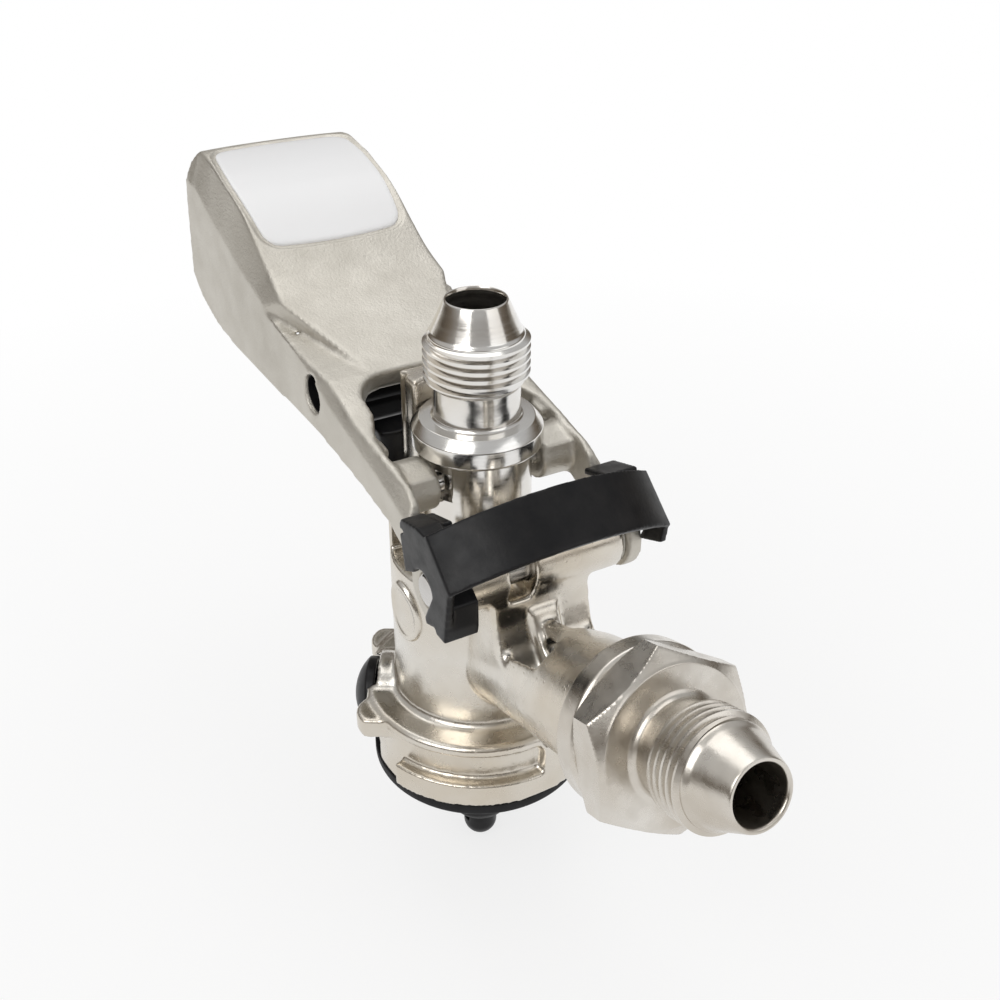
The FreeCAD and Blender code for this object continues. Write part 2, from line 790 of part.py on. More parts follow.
def make_probe():
    body = new_body("probe")
    neck_top = s.collar_top + s.probe_neck_length
    thread_top = neck_top + s.beer_thread_length
    rim = thread_top + s.beer_cone_length + 0.6
    sketch = new_sketch(body, "probe_section", "XZ_Plane")
    outline(sketch, [
        (s.stem_bore, s.stem_bottom - s.nose_seal_height),
        (s.nose_core_radius, s.stem_bottom - s.nose_seal_height),
        (s.nose_core_radius, s.stem_bottom),
        (s.stem_radius, s.stem_bottom),
        (s.stem_radius, s.probe_shank_bottom - 3),
        (s.probe_radius, s.probe_shank_bottom),
        (s.probe_radius, s.collar_bottom),
        (s.collar_radius - 0.3, s.collar_bottom),
        (s.collar_radius, s.collar_bottom + 0.3),
        (s.collar_radius, s.collar_top - s.collar_chamfer * 1.75),
        (s.collar_radius - 0.7, s.collar_top - 1.5),
        (s.collar_radius - s.collar_chamfer, s.collar_top),
        (s.probe_neck_radius + 2.0, s.collar_top),
        (s.probe_neck_radius + 1.6, s.collar_top - 0.5),
        (s.probe_neck_radius + 1.2, s.collar_top),
        (s.probe_neck_radius + 0.5, s.collar_top),
        (s.probe_neck_radius, s.collar_top + 0.5),
        (s.probe_neck_radius, neck_top),
        (s.thread_radius, neck_top + 0.8),
        (s.thread_radius, thread_top),
        (s.cone_base_radius, thread_top + 0.6),
        (s.cone_tip_radius - 0.2, rim),
        (s.beer_bore + 0.4, rim),
        (s.beer_bore, rim - 0.8),
        (s.beer_bore, s.collar_bottom),
        (s.stem_bore - 1.2, s.collar_bottom - 4),
        (s.stem_bore - 1.2, s.ball_z + s.ball_radius + s.ball_lift + 1.2),
        (s.stem_bore, s.ball_z + s.ball_radius + s.ball_lift - 0.4),
    ])
    turn(body, "Revolution", sketch)
    deep = s.probe_radius - s.roller_slot_depth
    for way, offset in (("left", s.probe_radius + 2), ("right", -deep)):
        slot = new_sketch(body, f"roller_slot_{way}", "XZ_Plane", offset)
        outline(slot, [
            (-s.probe_radius, s.lobe_z - s.roller_slot_height / 2),
            (s.probe_radius, s.lobe_z - s.roller_slot_height / 2),
            (s.probe_radius, s.lobe_z + s.roller_slot_height / 2),
            (-s.probe_radius, s.lobe_z + s.roller_slot_height / 2),
        ])
        pocket(body, slot, s.roller_slot_depth + 2, both_ways=False)
    return body


def make_nose_seal():
    body = new_body("probe_nose_seal")
    low = s.stem_bottom - s.nose_seal_height
    sketch = new_sketch(body, "nose_seal_section", "XZ_Plane")
    outline(sketch, [
        (s.nose_core_radius, low),
        (s.nose_seal_radius - 2.2, low),
        (s.nose_seal_radius - 0.4, low + 2.4),
        (s.nose_seal_radius, low + 4.2),
        (s.nose_seal_radius - 0.8, low + 5.6),
        (s.nose_seal_radius - 0.8, s.stem_bottom),
        (s.nose_core_radius, s.stem_bottom),
    ])
    turn(body, "Revolution", sketch)
    return body


def make_check_ball():
    ball = doc.addObject("Part::Sphere", "check_ball")
    ball.Label = "check_ball"
    bind(ball, "Radius", s.ball_radius)
    bind(ball, ".Placement.Base.z", s.ball_z)
    return ball


def make_ball_cage():
    """The plug under the ball: its seat, its side windows and the domed tip that opens the keg."""
    body = new_body("ball_cage")
    top = s.ball_z - s.ball_radius + 1.3
    seat = top - s.cage_seat_height
    low = s.stem_bottom - s.nose_seal_height
    sketch = new_sketch(body, "cage_section", "XZ_Plane")
    outline(sketch, [
        (0, s.cage_tip, -s.cage_radius),
        (s.cage_radius, s.cage_tip + s.cage_radius),
        (s.cage_radius, low - 0.2),
        (s.nose_core_radius - 0.5, low - 0.2),
        (s.nose_core_radius - 0.5, low),
        (s.stem_bore - 0.05, low),
        (s.stem_bore - 0.05, top),
        (s.cage_bore + 0.9, top),
        (s.cage_bore, seat),
        (s.cage_bore, low - 5),
        (0, low - 5),
    ])
    turn(body, "Revolution", sketch)
    window = new_sketch(body, "cage_window", "XZ_Plane")
    outline(window, [
        (-1.3, low - 4.8),
        (1.3, low - 4.8),
        (1.3, low - 1.2),
        (-1.3, low - 1.2),
    ])
    cut = pocket(body, window, s.cage_radius * 2 + 2)
    pattern = body.newObject("PartDesign::PolarPattern", "cage_windows")
    pattern.Originals = [cut]
    pattern.Axis = (cut.Profile[0], ["V_Axis"])
    pattern.Angle = 180
    pattern.Occurrences = 2
    body.Tip = pattern
    return body


def make_ring(label, z_low):
    """A rubber ring in one of the body's bore grooves, just clear of the sliding probe."""
    body = new_body(label)
    inner = s.probe_radius + 0.05
    outer = s.probe_radius + s.ring_groove_depth - 0.02
    sketch = new_sketch(body, f"{label}_section", "XZ_Plane")
    cut = s.ring_groove_height * 0.25
    outline(sketch, [
        (inner, z_low + cut),
        (inner + 0.6, z_low + 0.1),
        (outer, z_low + 0.1),
        (outer, z_low + s.ring_groove_height - 0.1),
        (inner + 0.6, z_low + s.ring_groove_height - 0.1),
        (inner, z_low + s.ring_groove_height - cut),
    ])
    turn(body, "Revolution", sketch)
    return body


# Hinge hardware


def make_hinge_pin():
    pin = doc.addObject("Part::Cylinder", "hinge_pin")
    pin.Label = "hinge_pin"
    bind(pin, "Radius", s.pin_radius)
    reach = s.grip_half_width + s.pin_overhang
    bind(pin, "Height", reach * 2)
    pin.Placement = FreeCAD.Placement(V(0, 0, 0), FreeCAD.Rotation(V(1, 0, 0), 90))
    bind(pin, ".Placement.Base.x", s.hinge_x)
    bind(pin, ".Placement.Base.y", reach)
    bind(pin, ".Placement.Base.z", s.hinge_z)
    return pin


def hinge_sleeve(label, radius_in, radius_out, spans):
    """Sleeves on the hinge axis, one between each pair of stations across the part."""
    pieces = []
    for near, far in spans:
        name = f"{label}_{len(pieces)}"
        outer = doc.addObject("Part::Cylinder", f"{name}_outer")
        inner = doc.addObject("Part::Cylinder", f"{name}_hole")
        for tube, radius in ((outer, radius_out), (inner, radius_in)):
            tube.Placement = FreeCAD.Placement(V(0, 0, 0), FreeCAD.Rotation(V(1, 0, 0), 90))
            bind(tube, "Radius", radius)
            bind(tube, "Height", far - near)
            bind(tube, ".Placement.Base.x", s.hinge_x)
            bind(tube, ".Placement.Base.y", far)
            bind(tube, ".Placement.Base.z", s.hinge_z)
        piece = doc.addObject("Part::Cut", name)
        piece.Base, piece.Tool = outer, inner
        pieces.append(piece)
    if len(pieces) == 1:
        pieces[0].Label = label
        return pieces[0]
    group = doc.addObject("Part::Compound", label)
    group.Label = label
    group.Links = pieces
    return group


def make_hinge_bushes():
    end = s.barrel_half_length
    start = s.barrel_half_length - s.bush_length
    inner = s.pin_radius + s.pin_running_gap
    return hinge_sleeve("hinge_bushes", inner, s.bush_radius, [(start, end), (-end, -start)])


def make_hinge_washers():
    near, far = s.barrel_half_length + 0.05, s.arm_inner - 0.05
    return hinge_sleeve("hinge_washers", s.pin_radius + s.pin_running_gap, s.barrel_radius - 0.6,
                        [(near, far), (-far, -near)])


# Lever


def lever_side(sketch):
    """The side view of the lever, from the hinge end back round the deep grip."""
    outline(sketch, [
        (s.hinge_x - 5.5, s.hinge_z + 1.0),
        (s.hinge_x + 5.0, s.hinge_z + 2.0),
        (s.hinge_x + 4.2, s.hinge_z + s.boss_radius + 2.2),
        (s.hinge_x - 4.0, s.hinge_z + 12.1),
        (s.hinge_x - 8.2, s.hinge_z + 11.5),
        (s.hinge_x - 9.3, s.hinge_z + 15.0),
        (10.0, 86.6),
        (-2.0, 88.8),
        (-14.0, 90.8),
        (-24.0, 93.6),
        (-33.0, 96.2),
        (-42.0, 98.9),
        (-50.0, 101.3),
        (-58.0, 103.9),
        (-66.0, 107.8),
        (-75.0, 113.6),
        (-84.0, s.grip_top - 6.8),
        (-103.0, s.grip_top - 1.2),
        (-117.0, s.grip_top),
        (s.grip_end + 5.4, s.grip_top - 4.4),
        (s.grip_end + 3.0, s.grip_top - 15.0),
        (s.grip_end, s.grip_floor + 10.6),
        (s.grip_end + 6.0, s.grip_floor + 5.4),
        (-104.5, s.grip_floor + 1.3),
        (-88.6, s.grip_floor),
        (-33.0, s.grip_floor + 0.8),
        (-10.0, s.grip_floor - 1.0),
        (5.0, s.grip_floor - 3.2),
        (s.hinge_x - 7.5, s.hinge_z + 2.4),
    ])


def lean_sides(body):
    """Leans both sides of the lever in towards its crest, by a wedge that follows the grip and the arms."""
    stations = [
        (s.grip_end - 3, 20.8, s.grip_top + 0.4, s.grip_top - 9.6),
        (-112.0, 20.8, s.grip_top - 0.3, s.grip_top - 10.6),
        (-100.0, 21.0, s.grip_top - 2.0, s.grip_top - 16.2),
        (-84.0, 21.0, s.grip_top - 6.8, s.grip_top - 22.4),
        (-75.0, 21.0, 113.7, 101.8),
        (-66.0, 21.2, 107.8, 100.0),
        (-54.0, 21.9, 102.5, 98.2),
        (-42.0, 22.8, 98.9, 95.0),
        (-24.0, 22.5, 93.6, 89.0),
        (0.0, 22.2, 88.6, 84.0),
        (s.hinge_x - 8.0, 22.4, s.hinge_z + 14.6, s.hinge_z + 10.0),
    ]
    side = s.grip_half_width + 0.6
    for way, name in ((1, "right"), (-1, "left")):
        sections = []
        for index, (x, half, crest, crease) in enumerate(stations):
            sketch = new_sketch(body, f"lean_{name}_{index}", "YZ_Plane", Dim.of(x))
            corners = [
                (Dim.of(half) * way, crest),
                (side * way, crease),
                (side * way, crest + 6),
                (Dim.of(half) * way, crest + 6),
            ]
            outline(sketch, corners[::way])
            sections.append(sketch)
        wedge = body.newObject("PartDesign::SubtractiveLoft", f"lean_{name}")
        wedge.Profile = sections[0]
        wedge.Sections = sections[1:]
        wedge.Ruled = True


def flatten_arms(body):
    """Cuts the flat facets that widen along both arms from the grip's crease to the throat."""
    for way, name in ((1, "right"), (-1, "left")):
        facet = new_sketch(body, f"arm_facet_{name}", "XY_Plane")
        lie = FreeCAD.Rotation(V(0, 1, 0), SIZES["crease_slope"])
        facet.AttachmentOffset = FreeCAD.Placement(V(SIZES["crease_x"], 0, SIZES["crease_z"]), lie)
        bind(facet, ".AttachmentOffset.Base.x", s.crease_x)
        bind(facet, ".AttachmentOffset.Base.z", s.crease_z)
        outline(facet, [
            (0, s.grip_half_width * way),
            (s.throat_back - s.crease_x + 2, Dim.of(11.0) * way),
            (s.throat_back - s.crease_x + 8, Dim.of(11.0) * way),
            (s.throat_back - s.crease_x + 8, (s.grip_half_width + 3) * way),
            (0, (s.grip_half_width + 3) * way),
        ])
        pocket(body, facet, 12, both_ways=False, turned=True)


def open_fork(body):
    """Cuts the throat with its round back corners, and the wider gap between the arms."""
    throat = new_sketch(body, "throat", "XY_Plane", s.body_top - 10)
    corner, half, back = s.throat_corner, s.throat_half_width, s.throat_back
    outline(throat, [
        (back, half - corner),
        (back, corner - half, corner * -1),
        (back + corner, -half),
        (-16.0, -half),
        (-8.0, -s.arm_inner),
        (s.hinge_x + 20, -s.arm_inner),
        (s.hinge_x + 20, s.arm_inner),
        (-8.0, s.arm_inner),
        (-16.0, half),
        (back + corner, half, corner * -1),
    ])
    pocket(body, throat, 80, both_ways=False, turned=True)


def make_lever():
    """The cast lever: a hollow grip that narrows into a fork with lifting lobes and hinge eyes."""
    body = new_body("lever")
    side = new_sketch(body, "lever_side", "XZ_Plane")
    lever_side(side)
    pad(body, side, s.grip_half_width * 2)
    lean_sides(body)
    flatten_arms(body)
    open_fork(body)
    hollow_grip_cut(body)
    eyes = new_sketch(body, "hinge_eyes", "XZ_Plane")
    circle(eyes, s.hinge_x, s.hinge_z, s.boss_radius)
    pad(body, eyes, s.grip_half_width * 2)
    inside = new_sketch(body, "barrel_gap", "XZ_Plane")
    circle(inside, s.hinge_x, s.hinge_z, s.boss_radius + 1)
    pocket(body, inside, s.arm_inner * 2)
    pin = new_sketch(body, "pin_hole", "XZ_Plane")
    circle(pin, s.hinge_x, s.hinge_z, s.pin_radius)
    pocket(body, pin, s.grip_half_width * 2 + 4)
    core = new_sketch(body, "arm_core", "XZ_Plane")
    outline(core, [
        (s.lanyard_x - 5.6, s.grip_floor - 4),
        (s.lanyard_x + 5.6, s.grip_floor - 4),
        (s.lanyard_x + 5.6, s.lanyard_z + 4.0),
        (s.lanyard_x + 3.0, s.lanyard_z + 5.4),
        (s.lanyard_x - 5.6, s.lanyard_z + 5.4),
    ])
    pocket(body, core, (s.grip_half_width - s.arm_core_wall) * 2)
    for name, radius, offset in (("near", s.lanyard_radius, s.grip_half_width + 1),
                                 ("far", s.lanyard_far_radius, s.arm_core_wall + 1 - s.grip_half_width)):
        hole = new_sketch(body, f"lanyard_hole_{name}", "XZ_Plane", offset)
        circle(hole, s.lanyard_x, s.lanyard_z, radius)
        pocket(body, hole, s.arm_core_wall + 2, both_ways=False)
    sides = (("left", s.arm_inner + 1, s.lobe_inner + 1), ("right", -s.lobe_inner, -s.stub_reach))
    for way, lobe_from, stub_from in sides:
        lobe = new_sketch(body, f"lobe_{way}", "XZ_Plane", lobe_from)
        circle(lobe, s.lobe_x, s.lobe_z, s.lobe_radius)
        pad(body, lobe, s.arm_inner + 1 - s.lobe_inner, both_ways=False, turned=True)
        stub = new_sketch(body, f"stub_{way}", "XZ_Plane", stub_from)
        circle(stub, s.lobe_x, s.lobe_z, s.stub_radius)
        pad(body, stub, s.lobe_inner + 1 - s.stub_reach, both_ways=False, turned=True)
    return body


def crown_line(sink):
    """The line of the grip's crown, sunk by a depth, from the tip towards the throat."""
    return [
        (-111.8, s.grip_top - 0.6 - sink),
        (-103.0, s.grip_top - 1.2 - sink),
        (-84.0, s.grip_top - 6.8 - sink),
        (-75.0, 112.8 - sink),
    ]


def hollow_grip_cut(body):
    """Cuts the deep hollow under the grip, then the shallow recess for the label on top of it."""
    hollow = new_sketch(body, "grip_hollow", "XZ_Plane")
    outline(hollow, [
        (-46.0, s.grip_floor - 6),
        (-46.0, 95.6),
        (-64.5, 101.6),
        (-75.0, 108.2),
        (-84.0, s.grip_top - 11.2),
        (-104.0, s.grip_top - 5.8),
        (s.grip_end + 9.4, s.grip_top - 7.5),
        (s.grip_end + 6.4, s.grip_top - 16.0),
        (s.grip_end + 3.4, s.grip_floor + 11.0),
        (s.grip_end + 8.0, s.grip_floor - 6),
    ])
    pocket(body, hollow, (s.grip_half_width - s.wall) * 2)
    recess = new_sketch(body, "label_recess", "XZ_Plane")
    high = crown_line(Dim.of(-6))
    outline(recess, crown_line(s.recess_depth) + high[::-1])
    pocket(body, recess, s.label_width + s.recess_rim * 2)


def make_label():
    """The thin bare plate that follows the grip's crown."""
    body = new_body("label_plate")
    sketch = new_sketch(body, "label_side", "XZ_Plane")
    low = crown_line(s.recess_depth)
    high = crown_line(s.recess_depth - s.label_thickness)
    outline(sketch, [(low[0][0] + 1, low[0][1])] + low[1:3] + [(low[3][0] - 1, low[3][1] + 0.8)]
            + [(high[3][0] - 1, high[3][1] + 0.8)] + high[2:0:-1] + [(high[0][0] + 1, high[0][1])])
    pad(body, sketch, s.label_width)
    return body


# Retaining clip over the hinge


def make_clip():
    """The sprung plastic clip that bridges the fork ends and keeps the hinge pin in."""
    body = new_body("hinge_clip")
    half = s.grip_half_width + s.clip_side_gap + s.clip_plate
    band = new_sketch(body, "clip_band", "XY_Plane")
    out, along = V(0.65, 0, 0.76), V(-0.76, 0, 0.65)
    lie = FreeCAD.Rotation(out, V(0, 1, 0), along, "ZXY")
    start = V(SIZES["hinge_x"], 0, SIZES["hinge_z"]) - along * SIZES["clip_drop"]
    band.AttachmentOffset = FreeCAD.Placement(start, lie)
    bind(band, ".AttachmentOffset.Base.x", s.hinge_x - s.clip_drop * along.x)
    bind(band, ".AttachmentOffset.Base.z", s.hinge_z - s.clip_drop * along.z)
    outline(band, [
        (s.clip_rise, -half, -s.clip_bow_radius),
        (s.clip_rise, half),
        (s.clip_rise - s.clip_wall, half, s.clip_bow_radius),
        (s.clip_rise - s.clip_wall, -half),
    ])
    pad(body, band, s.clip_band_width, both_ways=False)
    for way, offset in (("left", half), ("right", s.clip_plate - half)):
        plate = new_sketch(body, f"clip_plate_{way}", "XZ_Plane", offset)
        outline(plate, [
            (s.hinge_x - 7.8, s.hinge_z + 10.5),
            (s.hinge_x - 5.9, s.hinge_z + 2.2),
            (s.hinge_x - 1.9, s.hinge_z + 4.2, 4.4),
            (s.hinge_x + 6.4, s.hinge_z + 3.0),
            (s.hinge_x + 2.7, s.hinge_z - 3.9),
            (s.hinge_x + 3.2, s.hinge_z - 5.4),
            (s.hinge_x + 6.6, s.hinge_z - 4.2),
            (s.hinge_x + 11.6, s.hinge_z - 4.2),
            (s.hinge_x + 13.6, s.hinge_z + 7.3),
            (s.hinge_x + 4.2, s.hinge_z + 15.9),
        ])
        pad(body, plate, s.clip_plate, both_ways=False, turned=True)
        lips = (("upper", s.hinge_x - 7.8, s.hinge_z + 11.6, 9.0, 1.6, 0.3),
                ("lower", s.hinge_x + 7.4, s.hinge_z - 4.6, 4.1, 1.5, 0.1))
        for name, x, z, length, height, rise in lips:
            lip = new_sketch(body, f"clip_{name}_lip_{way}", "XZ_Plane",
                             offset if way == "left" else s.clip_lip_length - half)
            outline(lip, [
                (x, z),
                (x + length, z + rise * length),
                (x + length, z + rise * length + height),
                (x, z + height),
            ])
            pad(body, lip, s.clip_lip_length, both_ways=False, turned=True)
    return body


def make_drive_rollers():
    """The two rollers on the lever's stubs that ride in the probe's side slots."""
    pieces = []
    inner = s.stub_radius + s.pin_running_gap
    for near, far in ((s.stub_reach + 0.1, s.lobe_inner - 0.1), (-s.lobe_inner + 0.1, -s.stub_reach - 0.1)):
        outer = doc.addObject("Part::Cylinder", f"roller_{len(pieces)}_outer")
        hole = doc.addObject("Part::Cylinder", f"roller_{len(pieces)}_hole")
        for tube, radius in ((outer, s.roller_radius), (hole, inner)):
            tube.Placement = FreeCAD.Placement(V(0, 0, 0), FreeCAD.Rotation(V(1, 0, 0), 90))
            bind(tube, "Radius", radius)
            bind(tube, "Height", far - near)
            bind(tube, ".Placement.Base.x", s.lobe_x)
            bind(tube, ".Placement.Base.y", far)
            bind(tube, ".Placement.Base.z", s.lobe_z)
        piece = doc.addObject("Part::Cut", f"roller_{len(pieces)}")
        piece.Base, piece.Tool = outer, hole
        pieces.append(piece)
    group = doc.addObject("Part::Compound", "drive_rollers")
    group.Label = "drive_rollers"
    group.Links = pieces
    return group


# Relief valve


def radial_body(label, corners):
    """A piece turned about the relief valve's axis from a half outline of reach and radius."""
    body = new_body(label)
    sketch = new_sketch(body, f"{label}_section", "XY_Plane")
    outline(sketch, corners)
    turn(body, "Revolution", sketch, "V_Axis")
    way = FreeCAD.Rotation(V(0, 0, 1), SIZES["relief_angle"] - 90)
    body.Placement = FreeCAD.Placement(V(0, 0, SIZES["relief_z"]), way)
    bind(body, ".Placement.Base.z", s.relief_z)
    return body


def make_relief_cap():
    """The domed black push cap on its stem."""
    seat = s.relief_seat + s.relief_travel + s.relief_gap
    end = poppet_seat() - s.relief_gap - s.poppet_thickness
    return radial_body("relief_cap", [
        (0, end),
        (s.relief_stem_radius, end),
        (s.relief_stem_radius, seat + 1.6),
        (s.relief_cap_radius - 1.4, seat + 1.6),
        (s.relief_cap_radius - 1.4, seat),
        (s.relief_cap_radius, seat),
        (s.relief_cap_radius, seat + 2.0, -12.0),
        (1.2, seat + s.relief_cap_height),
        (0, seat + s.relief_cap_height),
    ])


def make_relief_poppet():
    """The rubber poppet on the inner end of the relief valve's stem."""
    face = poppet_seat() - s.relief_gap
    return radial_body("relief_poppet", [
        (s.relief_stem_radius, face - s.poppet_thickness),
        (s.poppet_radius, face - s.poppet_thickness),
        (s.poppet_radius, face),
        (s.relief_stem_radius, face),
    ])


PARTS = [
    make_base_seal(),
    make_housing(),
    make_gas_washer(),
    make_gas_adaptor(),
    make_gas_check_valve(),
    make_valve_sleeve(),
    make_probe(),
    make_nose_seal(),
    make_check_ball(),
    make_ball_cage(),
    make_ring("probe_seal_ring", s.lower_ring_z),
    make_ring("probe_wiper_ring", s.wiper_ring_z),
    make_hinge_pin(),
    make_hinge_bushes(),
    make_hinge_washers(),
    make_drive_rollers(),
    make_lever(),
    make_label(),
    make_clip(),
    make_relief_cap(),
    make_relief_poppet(),
]

doc.recompute()
for item in doc.Objects:
    if "Invalid" in item.State or "Error" in item.State:
        raise RuntimeError(f"{item.Label} failed: {item.State}")
os.makedirs("parts", exist_ok=True)
for part in PARTS:
    shape = part.Shape
    if shape.isNull() or not shape.isValid():
        raise RuntimeError(f"{part.Label} has a bad shape")
    shape.exportStep(f"parts/{part.Label}.step")
    print(part.Label, len(shape.Solids), round(shape.Volume), [round(v, 1) for v in (
        shape.BoundBox.XMin, shape.BoundBox.XMax, shape.BoundBox.YMin, shape.BoundBox.YMax,
        shape.BoundBox.ZMin, shape.BoundBox.ZMax)])
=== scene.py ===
import bmesh
import bpy
import logging
import math
from collections.abc import Callable, Sequence
from dataclasses import dataclass, field
from enum import Enum

from mathutils import Matrix, Vector

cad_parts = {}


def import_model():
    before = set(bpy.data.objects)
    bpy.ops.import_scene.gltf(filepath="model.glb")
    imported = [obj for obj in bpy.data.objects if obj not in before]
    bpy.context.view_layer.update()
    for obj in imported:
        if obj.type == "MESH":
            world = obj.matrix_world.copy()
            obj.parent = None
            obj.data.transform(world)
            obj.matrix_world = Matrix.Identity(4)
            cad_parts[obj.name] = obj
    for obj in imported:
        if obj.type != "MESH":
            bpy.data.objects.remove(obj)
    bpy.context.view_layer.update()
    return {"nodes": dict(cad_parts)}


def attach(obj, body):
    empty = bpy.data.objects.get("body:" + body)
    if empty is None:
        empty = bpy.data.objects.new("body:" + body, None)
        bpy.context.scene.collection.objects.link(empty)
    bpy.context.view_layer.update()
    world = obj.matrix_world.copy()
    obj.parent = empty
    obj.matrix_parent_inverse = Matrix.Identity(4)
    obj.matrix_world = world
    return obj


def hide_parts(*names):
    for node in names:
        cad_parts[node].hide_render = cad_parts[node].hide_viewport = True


log = logging.getLogger("keg_coupler")
MM = 0.001  # metres in a millimetre
TIP = 0.001  # a smaller radius, in millimetres, is one point
NEARLY_STRAIGHT = 168  # corners wider than this, in degrees, stay as they are
OPEN = 99.0  # a limit, in millimetres, that nothing reaches
WELD = 2e-6  # points of a solid nearer than this, in metres, are one
SEAM = 1e-7  # the same for a turned piece
Point = tuple[float, float]
Colour = tuple[float, float, float]


class Ride(Enum):
    """The moving bodies of the coupler."""

    BODY = "body"
    LEVER = "lever"
    PROBE = "probe"
    BALL = "ball"
    RELIEF = "relief"


class Slot(Enum):
    """The material slots."""

    CAST = "nickel_body"
    STEEL = "polished_steel"
    SATIN = "satin_nickel"
    INLET = "inlet_nickel"
    PIN = "pin_steel"
    RUBBER = "black_rubber"
    VALVE = "valve_rubber"
    # black plastic parts, and the black blocks that paint shade in the lever's hollows
    PLASTIC = "black_plastic"
    LABEL = "white_label"
    BEARING = "bearing_plastic"


class Graph:
    """A short hand for building node trees."""

    def __init__(self, tree: bpy.types.NodeTree) -> None:
        """Empties the tree.

        Args:
            tree: The tree to build in.
        """
        self.tree = tree
        tree.nodes.clear()

    def fill(self, node: bpy.types.Node, inputs: dict[str | int, object]) -> None:
        """Links other sockets to a node's inputs, or gives them plain values.

        Args:
            node: The node.
            inputs: Values or sockets by input name or number.
        """
        for key, value in inputs.items():
            if isinstance(value, bpy.types.NodeSocket):
                self.tree.links.new(value, node.inputs[key])
            else:
                node.inputs[key].default_value = value

    def node(self, kind: str, **inputs: object) -> bpy.types.Node:
        """Adds a node and fills its inputs.

        Args:
            kind: The node's type name.
            inputs: Values or sockets by input name, spaces written as underscores.

        Returns:
            The new node.
        """
        node = self.tree.nodes.new(kind)
        self.fill(node, {name.replace("_", " "): value for name, value in inputs.items()})
        return node

    def math(self, operation: str, first: object, second: object) -> bpy.types.NodeSocket:
        """Adds a math node on sockets or numbers.

        Args:
            operation: The operation's name.
            first: The first term.
            second: The second term.

        Returns:
            The result's socket.
        """
        node = self.node("ShaderNodeMath")
        node.operation = operation
        self.fill(node, {0: first, 1: second})
        return node.outputs[0]

    def ramp(self, source: bpy.types.NodeSocket,
             stops: Sequence[tuple[float, Colour]]) -> bpy.types.NodeSocket:
        """Colours a value.

        Args:
            source: The value socket.
            stops: Places and colours.

        Returns:
            The colour socket.
        """
        node = self.node("ShaderNodeValToRGB", Fac=source)
        elements = node.color_ramp.elements
        while len(elements) < len(stops):
            elements.new(0.5)
        for element, (place, colour) in zip(elements, stops):
            element.position = place
            element.color = (*colour, 1.0)
        return node.outputs["Color"]

    def span(self, source: bpy.types.NodeSocket, low: float, high: float, start: float = 0.3,
             finish: float = 0.7) -> bpy.types.NodeSocket:
        """Maps a value to a new range.

        Args:
            source: The value socket.
            low: The result at start.
            high: The result at finish.
            start: The source value that gives low.
            finish: The source value that gives high.

        Returns:
            The value socket.
        """
        node = self.node("ShaderNodeMapRange", Value=source, From_Min=start, From_Max=finish, To_Min=low,
                         To_Max=high)
        return node.outputs["Result"]


class Surface(Graph):
    """A new material with its shader, in the object's coordinates."""

    def __init__(self, name: str) -> None:
        """Makes the material.

        Args:
            name: The material's name.
        """
        self.material = bpy.data.materials.new(name)
        self.material.use_nodes = True
        super().__init__(self.material.node_tree)
        self.shader = self.node("ShaderNodeBsdfPrincipled")
        self.node("ShaderNodeOutputMaterial", Surface=self.shader.outputs["BSDF"])
        self.coords = self.node("ShaderNodeTexCoord").outputs["Object"]

    def noise(self, scale: float, detail: float = 3.0, roughness: float = 0.55) -> bpy.types.NodeSocket:
        """A noise value over the object.

        Args:
            scale: Waves per metre.
            detail: Octaves.
            roughness: Weight of the finer octaves.

        Returns:
            The factor socket.
        """
        node = self.node("ShaderNodeTexNoise", Vector=self.coords, Scale=scale, Detail=detail,
                         Roughness=roughness)
        return node.outputs["Fac"]

    def bump(self, source: bpy.types.NodeSocket, depth: float, strength: float = 1.0,
             under: bpy.types.NodeSocket | None = None) -> bpy.types.NodeSocket:
        """Raises the surface by a value.

        Args:
            source: The height socket.
            depth: The height of 1, in metres.
            strength: How much of it shows.
            under: A bump that this one adds to.

        Returns:
            The normal socket.
        """
        node = self.node("ShaderNodeBump", Height=source, Distance=depth, Strength=strength)
        if under is not None:
            self.fill(node, {"Normal": under})
        return node.outputs["Normal"]

    def feed(self, name: str, value: object) -> None:
        """Gives one of the shader's inputs a socket or a plain value."""
        self.fill(self.shader, {name: value})


@dataclass(frozen=True)
class CastMetal:
    """Plated casting: tinted patches, uneven gloss, cast grain and fine pits."""

    name: str
    pale: Colour
    deep: Colour
    low_rough: float
    high_rough: float
    grain_depth: float
    grain_scale: float = 1400.0
    patch_scale: float = 34.0
    pit_depth: float = 0.00004
    wave_scale: float = 160.0
    wave_depth: float = 0.00022
    pit_scale: float = 520.0

    def make(self) -> bpy.types.Material:
        """Builds the material.

        Returns:
            The material.
        """
        g = Surface(self.name)
        g.feed("Metallic", 1.0)
        middle = tuple((a + b) / 2 for a, b in zip(self.pale, self.deep))
        patches = g.noise(self.patch_scale, 4.0, 0.5)
        g.feed("Base Color", g.ramp(patches, [(0.34, self.pale), (0.52, middle), (0.70, self.deep)]))
        g.feed("Roughness", g.span(g.noise(self.patch_scale * 5, 5.0), self.low_rough, self.high_rough))
        waves = g.bump(g.noise(self.wave_scale, 2.0), self.wave_depth, 0.5)
        grain = g.bump(g.noise(self.grain_scale, 4.0, 0.6), self.grain_depth, 0.8, waves)
        pits = g.node("ShaderNodeTexVoronoi", Vector=g.coords, Scale=self.pit_scale)
        holes = g.span(pits.outputs["Distance"], 0.0, 1.0, 0.05, 0.16)
        g.feed("Normal", g.bump(holes, self.pit_depth, 0.7, grain))
        return g.material


